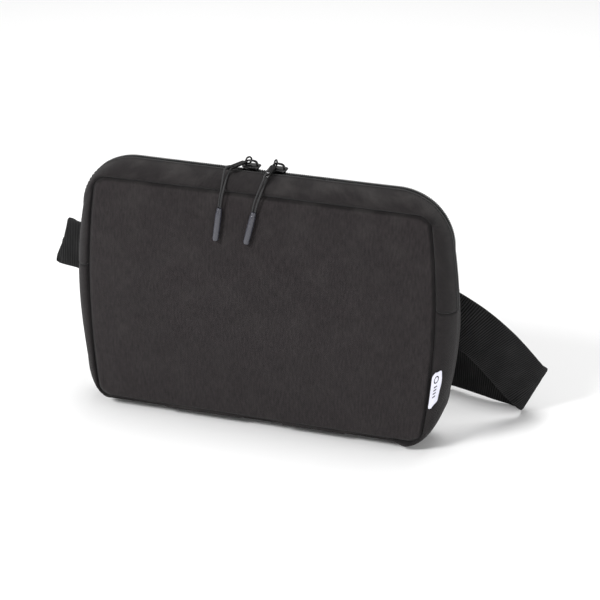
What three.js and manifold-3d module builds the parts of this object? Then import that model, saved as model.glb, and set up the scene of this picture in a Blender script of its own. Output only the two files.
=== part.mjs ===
// Belt bag: a soft zipped pouch with padded front and back panels, worn on a webbing belt
// with a side-release buckle. Millimetres, +Z up, the front faces -Y, and the origin lies
// on the floor under the middle of the bag.
import * as THREE from 'three';
import { mergeVertices } from 'three/addons/utils/BufferGeometryUtils.js';
import Module from 'manifold-3d';

// ---- Driving dimensions ----
const seamWidth = 232;        // front and rear seam outlines
const seamHeight = 158;
const seamCorner = 9.6;
const sideBow = 4.7;          // how far the short sides bow out at mid height
const bagDepth = 40;          // front seam to rear seam
const crestRise = 12;         // how far the gusset swells out past the seams
const crestCorner = 39;
const frontDome = 5;          // swell of the two panels past their seams
const backDome = 2.5;

const fabric = 0.9;           // layer thicknesses
const foam = 3;
const lining = 0.5;
const gap = 0.3;              // clearance between pieces that are sewn or rest together

const zipEndHeight = 102;     // where the zip stops on both sides
const zipSlot = 10;           // slot between the two zip flaps, that the coil shows in
const tapeWidth = 11;
const tape = 0.6;
const coilWidth = 2.6;
const coilRise = 0.3;         // coil stands this far above the crest
const coilGap = 1.2;          // between the two coils, that the slider's web runs in

const sliderLength = 12;
const sliderWidth = 9;
const sliderPlate = 1.1;
const sliderWeb = 0.6;
const bridgeSpan = 9;
const bridgeBar = 1.2;
const leftSliderX = -11;
const rightSliderX = 7.5;
const ringOffset = -2;        // pull ring sits off the middle of its bridge
const ringRadius = 2.2;
const ringWire = 0.6;
const tabLength = 16;         // ring centre to end bar centre
const tabWidth = 5;
const tabPlate = 1.3;
const tabHoleLength = 2.8;
const tabHoleWidth = 2.8;
const cordRadius = 0.65;
const tipRadius = 2.1;
const tipLength = 22.5;

const labelHeight = 25;
const labelReach = 8.5;
const labelMiddle = 49;
const labelSheet = 0.7;

const webbingWidth = 35;
const webbing = 1.5;
const floorGap = 0.6;         // lowest edge of the webbing above the floor
const hankPitch = 4;          // spacing of the stored runs of belt
const beltSetback = 66;       // stored belt behind the rear seam
const foldReach = 55;         // right fold beyond the seam
const leftFoldReach = 44;

const buckleX = -12;          // parting face of the buckle
const buckleRail = 5.5;       // each side of the buckle past the webbing
const buckleDeep = 10;
const buckleFrame = 3.2;
const femaleBody = 29;
const femaleTail = 9;
const maleBlock = 6;
const maleTail = 18.5;
const buckleWall = 2.2;
const buckleBar = 3;

const hankLeft = -80;         // where the stored runs turn back
const hankRight = 79;
const keeperX = 58;
const keeperLength = 14;
const keeperWall = 1.6;

// ---- Derived places ----
const halfDepth = bagDepth / 2;
const middleZ = crestRise + seamHeight / 2;
const topZ = 2 * middleZ;
const seam = { w: seamWidth, h: seamHeight, r: seamCorner };
const crest = { w: seamWidth + 2 * crestRise, h: seamHeight + 2 * crestRise, r: crestCorner };
const plateau = 0.4;          // share of the gusset's arc before its flat crest begins
const layers = fabric + gap + foam + gap + lining;
const hankZ = floorGap + keeperWall + gap + webbingWidth / 2 + gap;
const runA = halfDepth + beltSetback;
const runB = runA - hankPitch;
const runC = runB - hankPitch;
const tailSpacing = webbing + 0.6;
const buckleY = runC - buckleFrame / 2 - tailSpacing - webbing / 2 - 0.55;
const buckleWidth = webbingWidth + 2 * buckleRail;
const buckleZ = buckleWidth / 2 + floorGap;
const slotHeight = webbingWidth + 1.5;

const wasm = await Module();
wasm.setup();
const group = new THREE.Group();

// ---- Materials ----
const look = (color, roughness, metalness = 0) => ({ color, roughness, metalness });
const looks = {
  shell: look(0x353234, 0.9),
  gusset: look(0x2f3031, 0.88),
  lining: look(0x3a3a3d, 0.8),
  foam: look(0x6a6a6c, 0.95),
  tape: look(0x26282a, 0.85),
  coil: look(0x1c1d1f, 0.5),
  metal: look(0x2b2b2e, 0.35, 0.9),
  cord: look(0x232326, 0.8),
  tip: look(0x5b595f, 0.55),
  label: look(0xdcdce6, 0.8),
  webbing: look(0x1f2022, 0.85),
  plastic: look(0x1d1d1f, 0.5),
};

// Adds one named sub-part to the bag.
function addPart(name, geometry, lookName) {
  const mesh = new THREE.Mesh(geometry, new THREE.MeshStandardMaterial(looks[lookName]));
  mesh.name = name;
  group.add(mesh);
  return mesh;
}

// ---- Solids ----
function toSolid(geometry) {
  const bare = geometry.clone();
  for (const key of ['normal', 'uv']) if (bare.hasAttribute(key)) bare.deleteAttribute(key);
  const merged = mergeVertices(bare, 1e-4);
  return new wasm.Manifold(new wasm.Mesh({
    numProp: 3,
    vertProperties: new Float32Array(merged.attributes.position.array),
    triVerts: new Uint32Array(merged.index.array),
  }));
}

function toGeometry(solid) {
  const mesh = solid.getMesh();
  const geometry = new THREE.BufferGeometry();
  geometry.setAttribute('position', new THREE.BufferAttribute(mesh.vertProperties, 3));
  geometry.setIndex(new THREE.BufferAttribute(mesh.triVerts, 1));
  return geometry;
}

function closedGeometry(vertices, triangles) {
  const geometry = new THREE.BufferGeometry();
  geometry.setAttribute('position', new THREE.Float32BufferAttribute(vertices.flatMap((p) => p.toArray()), 3));
  geometry.setIndex(triangles);
  return geometry;
}

// A box given by its low and high corners.
function block(x0, x1, y0, y1, z0, z1) {
  return toSolid(new THREE.BoxGeometry(x1 - x0, y1 - y0, z1 - z0)
    .translate((x0 + x1) / 2, (y0 + y1) / 2, (z0 + z1) / 2));
}

// Joins two grids of points, outer and inner, into one closed wall. Rows run along the
// outline and columns across it; a closed wall's last row joins its first.
function wall(outer, inner, closed) {
  const rows = outer.length;
  const columns = outer[0].length;
  const vertices = [...outer.flat(), ...inner.flat()];
  const at = (side, row, column) => side * rows * columns + (row % rows) * columns + column;
  const triangles = [];
  const quad = (a, b, c, d) => triangles.push(a, c, b, a, d, c);
  const lastRow = closed ? rows : rows - 1;
  for (let i = 0; i < lastRow; i++) {
    for (let j = 0; j < columns - 1; j++) {
      quad(at(0, i, j), at(0, i + 1, j), at(0, i + 1, j + 1), at(0, i, j + 1));
      quad(at(1, i, j), at(1, i, j + 1), at(1, i + 1, j + 1), at(1, i + 1, j));
    }
    quad(at(1, i, 0), at(1, i + 1, 0), at(0, i + 1, 0), at(0, i, 0));
    const end = columns - 1;
    quad(at(0, i, end), at(0, i + 1, end), at(1, i + 1, end), at(1, i, end));
  }
  if (!closed) {
    for (let j = 0; j < columns - 1; j++) {
      quad(at(1, 0, j), at(0, 0, j), at(0, 0, j + 1), at(1, 0, j + 1));
      const end = rows - 1;
      quad(at(0, end, j), at(1, end, j), at(1, end, j + 1), at(0, end, j + 1));
    }
  }
  return closedGeometry(vertices, triangles);
}

// ---- The bag's surface ----
// A station counts round an outline: 0 to 1 along the bottom, 1 to 2 round the bottom right
// corner, 2 to 3 up the right side, and so on round to 8.
function outlinePoint(shape, station, inset = 0) {
  const turned = ((station % 8) + 8) % 8;
  const part = Math.floor(turned);
  const share = turned - part;
  const side = part >> 1;
  const halfW = shape.w / 2 - inset;
  const halfH = shape.h / 2 - inset;
  const r = Math.max(shape.r - inset, 1);
  const along = [[1, 0], [0, 1], [-1, 0], [0, -1]][side];
  const out = [[0, -1], [1, 0], [0, 1], [-1, 0]][side];
  const reach = side % 2 ? halfW : halfH;
  const run = (side % 2 ? halfH : halfW) - r;
  if (part % 2 === 0) {
    const bow = (side % 2 ? sideBow : 0) * 4 * share * (1 - share);
    const travel = run * (2 * share - 1);
    return new THREE.Vector2(along[0] * travel + out[0] * (reach + bow), along[1] * travel + out[1] * (reach + bow));
  }
  const angle = (side - 1 + share) * Math.PI / 2;
  const x = along[0] * run + out[0] * (reach - r);
  const z = along[1] * run + out[1] * (reach - r);
  return new THREE.Vector2(x + r * Math.cos(angle), z + r * Math.sin(angle));
}

function gussetPoint(station, v) {
  const inner = outlinePoint(seam, station);
  const outer = outlinePoint(crest, station);
  const swell = Math.min(1, Math.sin(Math.PI * v) / Math.sin(Math.PI * plateau));
  const p = inner.lerp(outer, swell);
  return new THREE.Vector3(p.x, -halfDepth * Math.cos(Math.PI * v), middleZ + p.y);
}

// A point of the gusset, moved in from the outside by a depth.
function gussetLayerPoint(station, v, depth) {
  const step = 1e-3;
  const v0 = Math.max(0, v - step);
  const v1 = Math.min(1, v + step);
  const across = gussetPoint(station, v1).sub(gussetPoint(station, v0));
  const along = gussetPoint(station + step, v).sub(gussetPoint(station - step, v));
  const outward = across.cross(along).normalize();
  return gussetPoint(station, v).addScaledVector(outward, -depth);
}

const shareAtY = (y) => Math.acos(-y / halfDepth) / Math.PI;

// Part of the gusset between two depths, over a run of stations and shares of its arc.
function gussetLayer(stations, shares, outerDepth, innerDepth, closed = false) {
  const grid = (depth) => stations.map((s) => shares.map((v) => gussetLayerPoint(s, v, depth)));
  return wall(grid(outerDepth), grid(innerDepth), closed);
}

function stationsBetween(from, to, sideSteps = 4, cornerSteps = 4) {
  const list = [from];
  for (let part = Math.floor(from); part < to; part++) {
    const steps = part % 2 === 0 ? sideSteps : cornerSteps;
    for (let k = 0; k <= steps; k++) {
      const s = part + k / steps;
      if (s > list[list.length - 1] + 0.02 && s < to - 0.02) list.push(s);
    }
  }
  list.push(to);
  return list;
}

// The station on the right side whose crest stands at a height, and its mirror on the left.
function sideStation(height) {
  const straight = crest.h - 2 * crest.r;
  return 2 + THREE.MathUtils.clamp((height - middleZ) / straight + 0.5, 0.02, 0.98);
}
const mirrored = (station) => 9 - station;

// ---- Panels ----
// A crowned sheet inside a seam outline. Side -1 is the front and 1 the back.
function panelLayer(side, dome, inset, outerDepth, innerDepth, scales) {
  const stations = stationsBetween(0, 8, 4, 4).slice(0, -1);
  const ring = (scale, depth) => stations.map((s) => {
    const p = outlinePoint(seam, s, inset).multiplyScalar(scale);
    const y = side * (halfDepth + dome * (1 - scale ** 2.5) - depth);
    return new THREE.Vector3(p.x, y, middleZ + p.y);
  });
  const count = stations.length;
  const vertices = [];
  for (const depth of [outerDepth, innerDepth]) {
    for (const scale of scales) vertices.push(...ring(scale, depth));
    vertices.push(new THREE.Vector3(0, side * (halfDepth + dome - depth), middleZ));
  }
  const sheet = scales.length * count + 1;
  const at = (face, k, i) => face * sheet + k * count + (i % count);
  const triangles = [];
  const triangle = (a, b, c) => triangles.push(...(side < 0 ? [a, b, c] : [a, c, b]));
  for (let i = 0; i < count; i++) {
    for (const face of [0, 1]) {
      const turn = (a, b, c) => (face ? triangle(a, c, b) : triangle(a, b, c));
      for (let k = 0; k < scales.length - 1; k++) {
        turn(at(face, k, i), at(face, k, i + 1), at(face, k + 1, i + 1));
        turn(at(face, k, i), at(face, k + 1, i + 1), at(face, k + 1, i));
      }
      const inner = scales.length - 1;
      turn(at(face, inner, i), at(face, inner, i + 1), face * sheet + sheet - 1);
    }
    triangle(at(0, 0, i), at(1, 0, i), at(1, 0, i + 1));
    triangle(at(0, 0, i), at(1, 0, i + 1), at(0, 0, i + 1));
  }
  return closedGeometry(vertices, triangles);
}

function addPanel(name, side, dome) {
  const foamDepth = fabric + gap;
  const liningDepth = foamDepth + foam + gap;
  addPart(`${name}_panel`, panelLayer(side, dome, gap, 0, fabric, [1, 0.85, 0.6, 0.3]), 'shell');
  addPart(`${name}_foam`, panelLayer(side, dome, 2 * gap, foamDepth, foamDepth + foam, [1, 0.7, 0.35]), 'foam');
  addPart(`${name}_lining`, panelLayer(side, dome, 2 * gap, liningDepth, liningDepth + lining, [1, 0.7, 0.35]), 'lining');
}

// ---- Gusset ----
const zipStart = sideStation(zipEndHeight);
const endGap = 1.5 * gap / (crest.h - 2 * crest.r);
const bandShares = [0, 0.12, 0.25, plateau, 1 - plateau, 0.75, 0.88, 1];

function addGusset() {
  const lower = stationsBetween(mirrored(zipStart) + endGap - 8, zipStart - endGap);
  addPart('gusset_band', gussetLayer(lower, bandShares, 0, fabric), 'gusset');
  const inside = fabric + gap;
  const liningShares = [0.02, 0.25, plateau, 1 - plateau, 0.75, 0.98];
  addPart('gusset_lining', gussetLayer(lower, liningShares, inside, inside + lining), 'lining');
}

// A bias tape that wraps the raw edges inside one seam.
function addBinding(name, side) {
  const stations = stationsBetween(0, 8, 3, 3).slice(0, -1);
  const [near, far] = [layers + 1, layers + 8];
  const grid = (inset) => stations.map((s) => {
    const p = outlinePoint(seam, s, inset);
    const ys = [side * (halfDepth - near), side * (halfDepth - far)].sort((a, b) => a - b);
    return ys.map((y) => new THREE.Vector3(p.x, y, middleZ + p.y));
  });
  addPart(name, wall(grid(1.5), grid(3.3), true), 'lining');
}

// ---- Zip ----
// One half of the zip: a flap of the gusset, the tape under its edge, and the coil on the tape.
function addZipHalf(name, side) {
  const stations = stationsBetween(zipStart, mirrored(zipStart), 6, 5);
  const layer = (shares, outerDepth, innerDepth) => {
    const list = side < 0 ? shares : shares.map((share) => 1 - share).reverse();
    return gussetLayer(stations, list, outerDepth, innerDepth);
  };
  const coilEdge = shareAtY(-coilGap / 2);
  const tapeEdge = shareAtY(-coilGap / 2 - tapeWidth);
  const slotEdge = shareAtY(-zipSlot / 2);
  const under = fabric + gap;
  addPart(`zip_flap_${name}`, layer([0, tapeEdge / 2, tapeEdge, plateau, slotEdge], 0, fabric), 'gusset');
  addPart(`zip_tape_${name}`, layer([tapeEdge, plateau, coilEdge], under, under + tape), 'tape');
  addPart(`zip_coil_${name}`, layer([shareAtY(-coilGap / 2 - coilWidth), coilEdge], -coilRise, fabric), 'coil');
}

// ---- Sliders and pulls ----
const bridgeZ = topZ + coilRise + gap + sliderPlate + gap + ringRadius + ringWire;

function addSlider(name, x) {
  const half = sliderLength / 2;
  const top = topZ + coilRise + gap;
  const tapeTop = topZ - fabric - gap;
  const under = tapeTop - tape - gap;
  const side = sliderWidth / 2;
  let body = block(x - half, x + half, -side, side, top, top + sliderPlate);
  for (const y of [-side, side - 0.8]) {
    body = body.add(block(x - half, x + half, y, y + 0.8, tapeTop + gap, top + sliderPlate / 2));
  }
  body = body.add(block(x - half, x + half, -sliderWeb / 2, sliderWeb / 2, under - sliderPlate / 2, top + 0.5));
  body = body.add(block(x - half, x + half, -side, side, under - sliderPlate, under));
  const window = bridgeSpan / 2 - bridgeBar;
  const bar = bridgeBar / 2;
  const arch = block(x - bridgeSpan / 2, x + bridgeSpan / 2, -bar, bar, top + sliderPlate / 2, bridgeZ + bar)
    .subtract(block(x - window, x + window, -1.5 * bar, 1.5 * bar, top, bridgeZ - bar));
  addPart(`slider_${name}`, toGeometry(body.add(arch)), 'metal');
}

// Places a shape drawn in a pull's own frame: x along the hinge, y along the pull, z above it.
function pullFrame(hinge, forward, slope) {
  const along = new THREE.Vector3(forward[0] * Math.cos(slope), forward[1] * Math.cos(slope), -Math.sin(slope));
  const axis = new THREE.Vector3(-forward[1], forward[0], 0);
  const above = axis.clone().cross(along);
  return { hinge, along, axis, above, matrix: new THREE.Matrix4().makeBasis(axis, along, above).setPosition(hinge) };
}

// The pull tab: a ring round the bridge, a flat plate, and a hole that leaves an end bar.
function addTab(name, frame) {
  const ring = toSolid(new THREE.TorusGeometry(ringRadius, ringWire, 8, 16).rotateY(Math.PI / 2));
  const w = tabWidth / 2;
  const start = ringRadius - ringWire / 2;
  const end = tabLength + 0.8;
  let plate = block(-w, w, start + 1.2, end, -tabPlate / 2, tabPlate / 2)
    .add(block(-ringWire, ringWire, start, start + 1.6, -tabPlate / 2, tabPlate / 2));
  const hole = tabHoleWidth / 2;
  plate = plate.subtract(block(-hole, hole, tabLength - 0.8 - tabHoleLength, tabLength - 0.8, -tabPlate, tabPlate));
  addPart(`pull_tab_${name}`, toGeometry(ring.add(plate)).applyMatrix4(frame.matrix), 'metal');
}

// A doubled cord looped round the tab's end bar, with both ends in a moulded tip.
function addCord(name, frame, leave, route, tipTop, tipEnd) {
  const bar = frame.hinge.clone().addScaledVector(frame.along, tabLength);
  const flat = new THREE.Vector3(frame.along.x, frame.along.y, 0).normalize();
  const down = flat.clone().multiplyScalar(Math.cos(leave)).add(new THREE.Vector3(0, 0, -Math.sin(leave)));
  const lift = frame.axis.clone().cross(down);
  const hang = tipEnd.clone().sub(tipTop).normalize();
  const strand = (sign) => [
    tipTop.clone().addScaledVector(frame.axis, sign * 0.9).addScaledVector(hang, -gap),
    ...route.map((p) => p.clone().addScaledVector(frame.axis, sign * 1.1)),
    bar.clone().addScaledVector(lift, sign * 1.95).addScaledVector(down, 2.2),
    bar.clone().addScaledVector(lift, sign * 1.9),
  ];
  const points = [...strand(1), bar.clone().addScaledVector(down, -1.9), ...strand(-1).reverse()];
  const section = new THREE.Shape();
  section.absarc(0, 0, cordRadius, 0, 2 * Math.PI);
  const curve = new THREE.CatmullRomCurve3(points, false, 'centripetal');
  const tube = new THREE.ExtrudeGeometry(section, { steps: 32, curveSegments: 4, bevelEnabled: false, extrudePath: curve });
  addPart(`pull_cord_${name}`, toGeometry(toSolid(tube)), 'cord');
  const profile = [[0, 0], [tipRadius - 0.4, 0], [tipRadius, 0.5], [tipRadius, tipLength - 0.6], [tipRadius - 0.5, tipLength], [0, tipLength]];
  const tip = new THREE.LatheGeometry(profile.map(([r, h]) => new THREE.Vector2(r, h)), 12);
  const turn = new THREE.Quaternion().setFromUnitVectors(new THREE.Vector3(0, 1, 0), hang);
  tip.applyQuaternion(turn).translate(tipTop.x, tipTop.y, tipTop.z);
  addPart(`cord_tip_${name}`, toGeometry(toSolid(tip)), 'tip');
}

function addPull(name, x, forward, slope, tipX, lean) {
  const frame = pullFrame(new THREE.Vector3(x + ringOffset, 0, bridgeZ), forward, slope);
  addTab(name, frame);
  const bar = frame.hinge.clone().addScaledVector(frame.along, tabLength);
  const frontY = -halfDepth - tipRadius - gap;
  const seamZ = middleZ + seamHeight / 2;
  const tipTop = new THREE.Vector3(tipX, frontY - 1.8, seamZ - 9.5);
  const tipEnd = new THREE.Vector3(tipX + lean, frontY - 4.2, seamZ - 9.5 - tipLength);
  const overSeam = new THREE.Vector3((bar.x + tipX) / 2, -halfDepth - 2.6, seamZ + 1.5);
  const below = new THREE.Vector3(tipX - lean * 0.2, frontY - 1.4, seamZ - 4.5);
  addCord(name, frame, 0.8, [below, overSeam], tipTop, tipEnd);
}

// ---- Side label ----
function addLabel() {
  const straight = seam.h - 2 * seam.r;
  const stations = [-0.5, 0, 0.5].map((k) => 2.5 + (labelMiddle + k * labelHeight - middleZ) / straight);
  const last = shareAtY(-halfDepth + 0.45 * labelReach);
  const shares = [0.04, last * 0.55, last];
  addPart('side_label', gussetLayer(stations, shares, -gap - labelSheet, -gap), 'label');
}

// ---- Belt ----
// A flat strap swept along hand-laid route points, each with the direction of its width.
function strap(route, steps) {
  const curve = new THREE.CatmullRomCurve3(route.map((r) => r.at), false, 'centripetal');
  const spans = route.length - 1;
  const rows = [[], []];
  for (let i = 0; i <= spans * steps; i++) {
    const t = Math.min(i / (spans * steps), 1);
    const p = curve.getPoint(t);
    const tangent = curve.getTangent(t);
    const from = Math.min(Math.floor(i / steps), spans - 1);
    const wide = route[from].wide.clone().lerp(route[from + 1].wide, i / steps - from);
    wide.addScaledVector(tangent, -wide.dot(tangent)).normalize();
    const face = tangent.clone().cross(wide);
    for (const [k, side] of [[0, -1], [1, 1]]) {
      const middle = p.clone().addScaledVector(face, side * webbing / 2);
      rows[k].push([-1, 1].map((e) => middle.clone().addScaledVector(wide, e * webbingWidth / 2)));
    }
  }
  return wall(rows[0], rows[1], false);
}

const up = new THREE.Vector3(0, 0, 1);
const place = (x, y, z, wide = up) => ({ at: new THREE.Vector3(x, y, z), wide: wide.clone().normalize() });
const tilt = (x, y, z) => new THREE.Vector3(x, y, z);

// A half turn of the stored belt, standing on edge, from one run to the next.
function halfTurn(x, fromY, toY, side, z) {
  const r = Math.abs(fromY - toY) / 2;
  const sign = Math.sign(toY - fromY);
  return [-60, -20, 20, 60].map((degrees) => {
    const a = THREE.MathUtils.degToRad(degrees);
    return place(x + side * r * Math.cos(a), (fromY + toY) / 2 + sign * r * Math.sin(a), z);
  });
}

// A bend round a slanted fold line that lies in the strap, turning by the right-hand rule
// about the line. It starts at a point with a heading and gives route points to its end.
function foldRound(start, heading, line, degrees, radius) {
  const slip = heading.dot(line);
  const across = heading.clone().addScaledVector(line, -slip);
  const inward = line.clone().cross(across).normalize();
  const centre = start.clone().addScaledVector(inward, radius);
  const wide = line.clone().addScaledVector(heading, -slip);
  if (wide.z < 0) wide.negate();
  return [0, 0.2, 0.4, 0.6, 0.8, 1].map((share) => {
    const angle = THREE.MathUtils.degToRad(degrees) * share;
    const arm = inward.clone().multiplyScalar(-radius).applyAxisAngle(line, angle);
    const p = centre.clone().add(arm).addScaledVector(line, slip / across.length() * radius * angle);
    return { at: p, wide: wide.clone().applyAxisAngle(line, angle).normalize() };
  });
}

const anchorX = seamWidth / 2 + 0.9;
const anchorY = halfDepth + gap + webbing / 2 + 0.9;

function addRightBelt() {
  const anchor = tilt(anchorX, anchorY, middleZ - 2);
  const heading = tilt(0.6, 0.35, -0.72).normalize();
  const start = tilt(anchorX + foldReach, halfDepth + 34, hankZ + 6);
  const bulge = tilt(0, -4, 4);
  const near = [0, 0.3, 0.6].map((k) => {
    const p = anchor.clone().lerp(start, k).addScaledVector(bulge, 4 * k * (1 - k));
    return place(p.x, p.y, p.z, tilt(0.62 + 0.1 * k, 0.15 * k, 0.78 - 0.1 * k));
  });
  const bend = foldRound(start, heading, tilt(0.421, 0, 0.907).normalize(), 138, 6);
  const away = [place(start.x - 32, runA - 11.5, hankZ - 0.3), place(start.x - 58, runA - 3, hankZ)];
  const barX = buckleX + maleBlock + 8;
  const climb = buckleZ - hankZ;
  const hank = [
    place(hankRight + 15, runA, hankZ), place(hankRight, runA, hankZ), place(-20, runA, hankZ),
    place(hankLeft + 1, runA, hankZ),
    ...halfTurn(hankLeft, runA, runB, -1, hankZ),
    place(hankLeft + 1, runB, hankZ), place(10, runB, hankZ), place(hankRight - 1, runB, hankZ),
    ...halfTurn(hankRight, runB, runC, 1, hankZ),
    place(hankRight - 1, runC, hankZ), place(keeperX + 10, runC, hankZ), place(keeperX - 12, runC, hankZ),
    place(keeperX - 20, runC, hankZ),
    place(barX + 17, runC, hankZ + climb), place(barX + 5, runC, buckleZ),
  ];
  const round = [[0, 4.2], [-3.1, 2.2], [-3.6, 0], [-2.6, -2.6], [0, -3.2], [2.8, -2.3], [4.5, 0], [6.8, 2.3], [10.5, 2.85]]
    .map(([x, y]) => place(barX + x, buckleY + y, buckleZ));
  const tailY = runC - tailSpacing;
  const tail = [place(barX + 17, tailY, hankZ + climb), place(keeperX - 20, tailY, hankZ),
    place(keeperX - 12, tailY, hankZ), place(keeperX + 10, tailY, hankZ), place(keeperX + 22, tailY, hankZ)];
  addPart('belt_right', strap([...near, ...bend, ...away, ...hank, ...round, ...tail], 2), 'webbing');
}

function addLeftBelt() {
  const anchor = tilt(-anchorX, anchorY, middleZ + 5);
  const heading = tilt(-0.92, 0.39, 0).normalize();
  const start = tilt(-anchorX - leftFoldReach, anchorY + leftFoldReach * 0.42, middleZ + 5);
  const near = [place(anchor.x, anchor.y, anchor.z), place((anchor.x + start.x) / 2, (anchor.y + start.y) / 2, anchor.z)];
  const bend = foldRound(start, heading, tilt(-0.33, 0, -0.944).normalize(), 141, 3.5);
  const end = bend[bend.length - 1].at;
  const barX = buckleX - femaleBody - femaleTail + buckleBar / 2;
  const arrive = tilt(barX - 20, buckleY - 3.3, buckleZ + 0.8);
  const drop = [0.3, 0.6, 0.85].map((k) => {
    const p = end.clone().lerp(arrive, k).addScaledVector(tilt(0, 2, -4), 4 * k * (1 - k));
    return place(p.x, p.y, p.z, tilt(0.62 * (1 - k ** 3), 0, 0.82));
  });
  drop.push(place(arrive.x, arrive.y, arrive.z), place(barX - 7, buckleY - 3.1, buckleZ));
  const round = [[0, -3.15], [2.6, -1.9], [3.15, 0], [2.6, 1.9], [0, 3.15], [-5, 2.2]]
    .map(([x, y]) => place(barX + x, buckleY + y, buckleZ));
  const overlap = [place(barX - 12, buckleY - 0.9, buckleZ), place(barX - 20, buckleY - 1.1, buckleZ + 0.6, tilt(0.06, 0, 1))];
  addPart('belt_left', strap([...near, ...bend, ...drop, ...round, ...overlap], 2), 'webbing');
}

function buckleBlock(x0, x1, depth, z0, z1) {
  return block(buckleX + x0, buckleX + x1, buckleY - depth / 2, buckleY + depth / 2, buckleZ + z0, buckleZ + z1);
}

const cavityHalf = buckleWidth / 2 - buckleWall;
const cavityDeep = buckleDeep - 2 * 1.8;

function addBuckle() {
  const half = buckleWidth / 2;
  const slot = slotHeight / 2;
  let female = buckleBlock(-femaleBody, 0, buckleDeep, -half, half)
    .add(buckleBlock(-femaleBody - femaleTail, -femaleBody + 1, buckleFrame, -half, half));
  female = female.subtract(buckleBlock(-femaleBody + 1, 1, cavityDeep, -cavityHalf, cavityHalf));
  female = female.subtract(buckleBlock(-22, -12, cavityDeep, -half - 1, half + 1));
  const slotEnd = -femaleBody - 0.8;
  female = female.subtract(buckleBlock(-femaleBody - femaleTail + buckleBar, slotEnd, buckleDeep, -slot, slot));
  addPart('buckle_female', toGeometry(female), 'plastic');

  const start = 2 * gap;
  let male = buckleBlock(start, maleBlock, buckleDeep, -half, half)
    .add(buckleBlock(maleBlock - 1, maleBlock + maleTail, buckleFrame, -half, half))
    .add(buckleBlock(-20, start + 1, cavityDeep - 1.2, -4, 4));
  const barX = maleBlock + 8;
  const frameEnd = maleBlock + maleTail;
  male = male.subtract(buckleBlock(maleBlock + 1.4, barX - buckleBar / 2, buckleDeep, -slot, slot));
  male = male.subtract(buckleBlock(barX + buckleBar / 2, frameEnd - buckleBar, buckleDeep, -slot, slot));
  addPart('buckle_male', toGeometry(male), 'plastic');
  for (const [name, side] of [['upper', 1], ['lower', -1]]) addProng(name, side);
}

// A spring arm of the male half, with the barb that shows in the female half's window.
function addProng(name, side) {
  const barb = cavityHalf + 1.8;
  const inner = cavityHalf - 9.3;
  const outline = [[-0.6, inner], [-0.6, inner + 3.5], [-12.4, inner + 4.7], [-12.6, barb - 0.6], [-13.4, barb],
    [-19.2, barb], [-25.5, cavityHalf - 3], [-25.5, inner + 3], [-12.5, inner + 1.3]];
  const shape = new THREE.Shape(outline.map(([x, z]) => new THREE.Vector2(x, z)));
  const depth = cavityDeep - 1.2;
  const arm = new THREE.ExtrudeGeometry(shape, { depth, bevelEnabled: false, curveSegments: 1 });
  arm.translate(0, 0, -depth / 2).rotateX(Math.PI / 2);
  if (side < 0) arm.rotateX(Math.PI);
  arm.translate(buckleX, buckleY, buckleZ);
  addPart(`buckle_prong_${name}`, toGeometry(toSolid(arm)), 'plastic');
}

// An elastic loop that holds the stored runs of belt together.
function addKeeper() {
  const halfZ = webbingWidth / 2 + gap + 0.2;
  const y0 = runC - tailSpacing - webbing / 2 - gap - 0.2;
  const y1 = runA + webbing / 2 + gap + 0.2;
  const x0 = keeperX - keeperLength / 2;
  const x1 = keeperX + keeperLength / 2;
  const ring = block(x0, x1, y0 - keeperWall, y1 + keeperWall, hankZ - halfZ - keeperWall, hankZ + halfZ + keeperWall)
    .subtract(block(x0 - 1, x1 + 1, y0, y1, hankZ - halfZ, hankZ + halfZ));
  addPart('strap_keeper', toGeometry(ring), 'webbing');
}

addPanel('front', -1, frontDome);
addPanel('back', 1, backDome);
addGusset();
addBinding('seam_binding_front', -1);
addBinding('seam_binding_rear', 1);
addZipHalf('front', -1);
addZipHalf('rear', 1);
addSlider('left', leftSliderX);
addSlider('right', rightSliderX);
addPull('left', leftSliderX, [-0.62, -0.785], 0.17, -25.1, -2.1);
addPull('right', rightSliderX, [-0.12, -0.993], 0.26, -1.6, -4.6);
addLabel();
addRightBelt();
addLeftBelt();
addBuckle();
addKeeper();

export default group;
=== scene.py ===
"""Looks of the belt bag: padded shell, zip, pulls, label, webbing, buckle and studio, built round the frame."""
import sys

import logging
import math
from bisect import bisect_right
from contextlib import contextmanager
from dataclasses import dataclass
from enum import Enum
from typing import Callable, Iterable, Iterator, Sequence

import bmesh
import bpy
import numpy as np
from mathutils import Matrix, Quaternion, Vector, noise


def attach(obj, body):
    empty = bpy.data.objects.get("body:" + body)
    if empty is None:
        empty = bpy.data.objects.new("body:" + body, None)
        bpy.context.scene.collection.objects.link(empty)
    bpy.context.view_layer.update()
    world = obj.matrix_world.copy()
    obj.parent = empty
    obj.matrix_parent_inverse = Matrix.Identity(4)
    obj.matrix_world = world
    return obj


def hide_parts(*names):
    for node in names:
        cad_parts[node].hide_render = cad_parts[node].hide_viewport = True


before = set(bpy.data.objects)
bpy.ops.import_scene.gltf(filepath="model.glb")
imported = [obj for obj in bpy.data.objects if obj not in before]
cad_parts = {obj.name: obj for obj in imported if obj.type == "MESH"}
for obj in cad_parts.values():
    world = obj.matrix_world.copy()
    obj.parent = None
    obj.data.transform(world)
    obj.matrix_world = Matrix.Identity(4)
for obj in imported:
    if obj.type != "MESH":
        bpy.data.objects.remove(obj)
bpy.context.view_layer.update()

LOG = logging.getLogger("belt_bag")
MM = 0.001
UP = Vector((0.0, 0.0, 1.0))
Colour = tuple[float, float, float]
Object = bpy.types.Object
Tree = bpy.types.NodeTree
Node = bpy.types.Node
Material = bpy.types.Material
Socket = bpy.types.NodeSocket
Line = list[tuple[Vector, Vector]]
LINT: Colour = (0.2, 0.19, 0.18)
LINT_SHARE = 0.12


class Side(Enum):
    """The front or the rear half of the bag, by the sign of Y."""

    FRONT = -1
    REAR = 1


class Space(Enum):
    """Where a finish takes its pattern's coordinates from."""

    SURFACE = "UV"
    SOLID = "Object"


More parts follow.
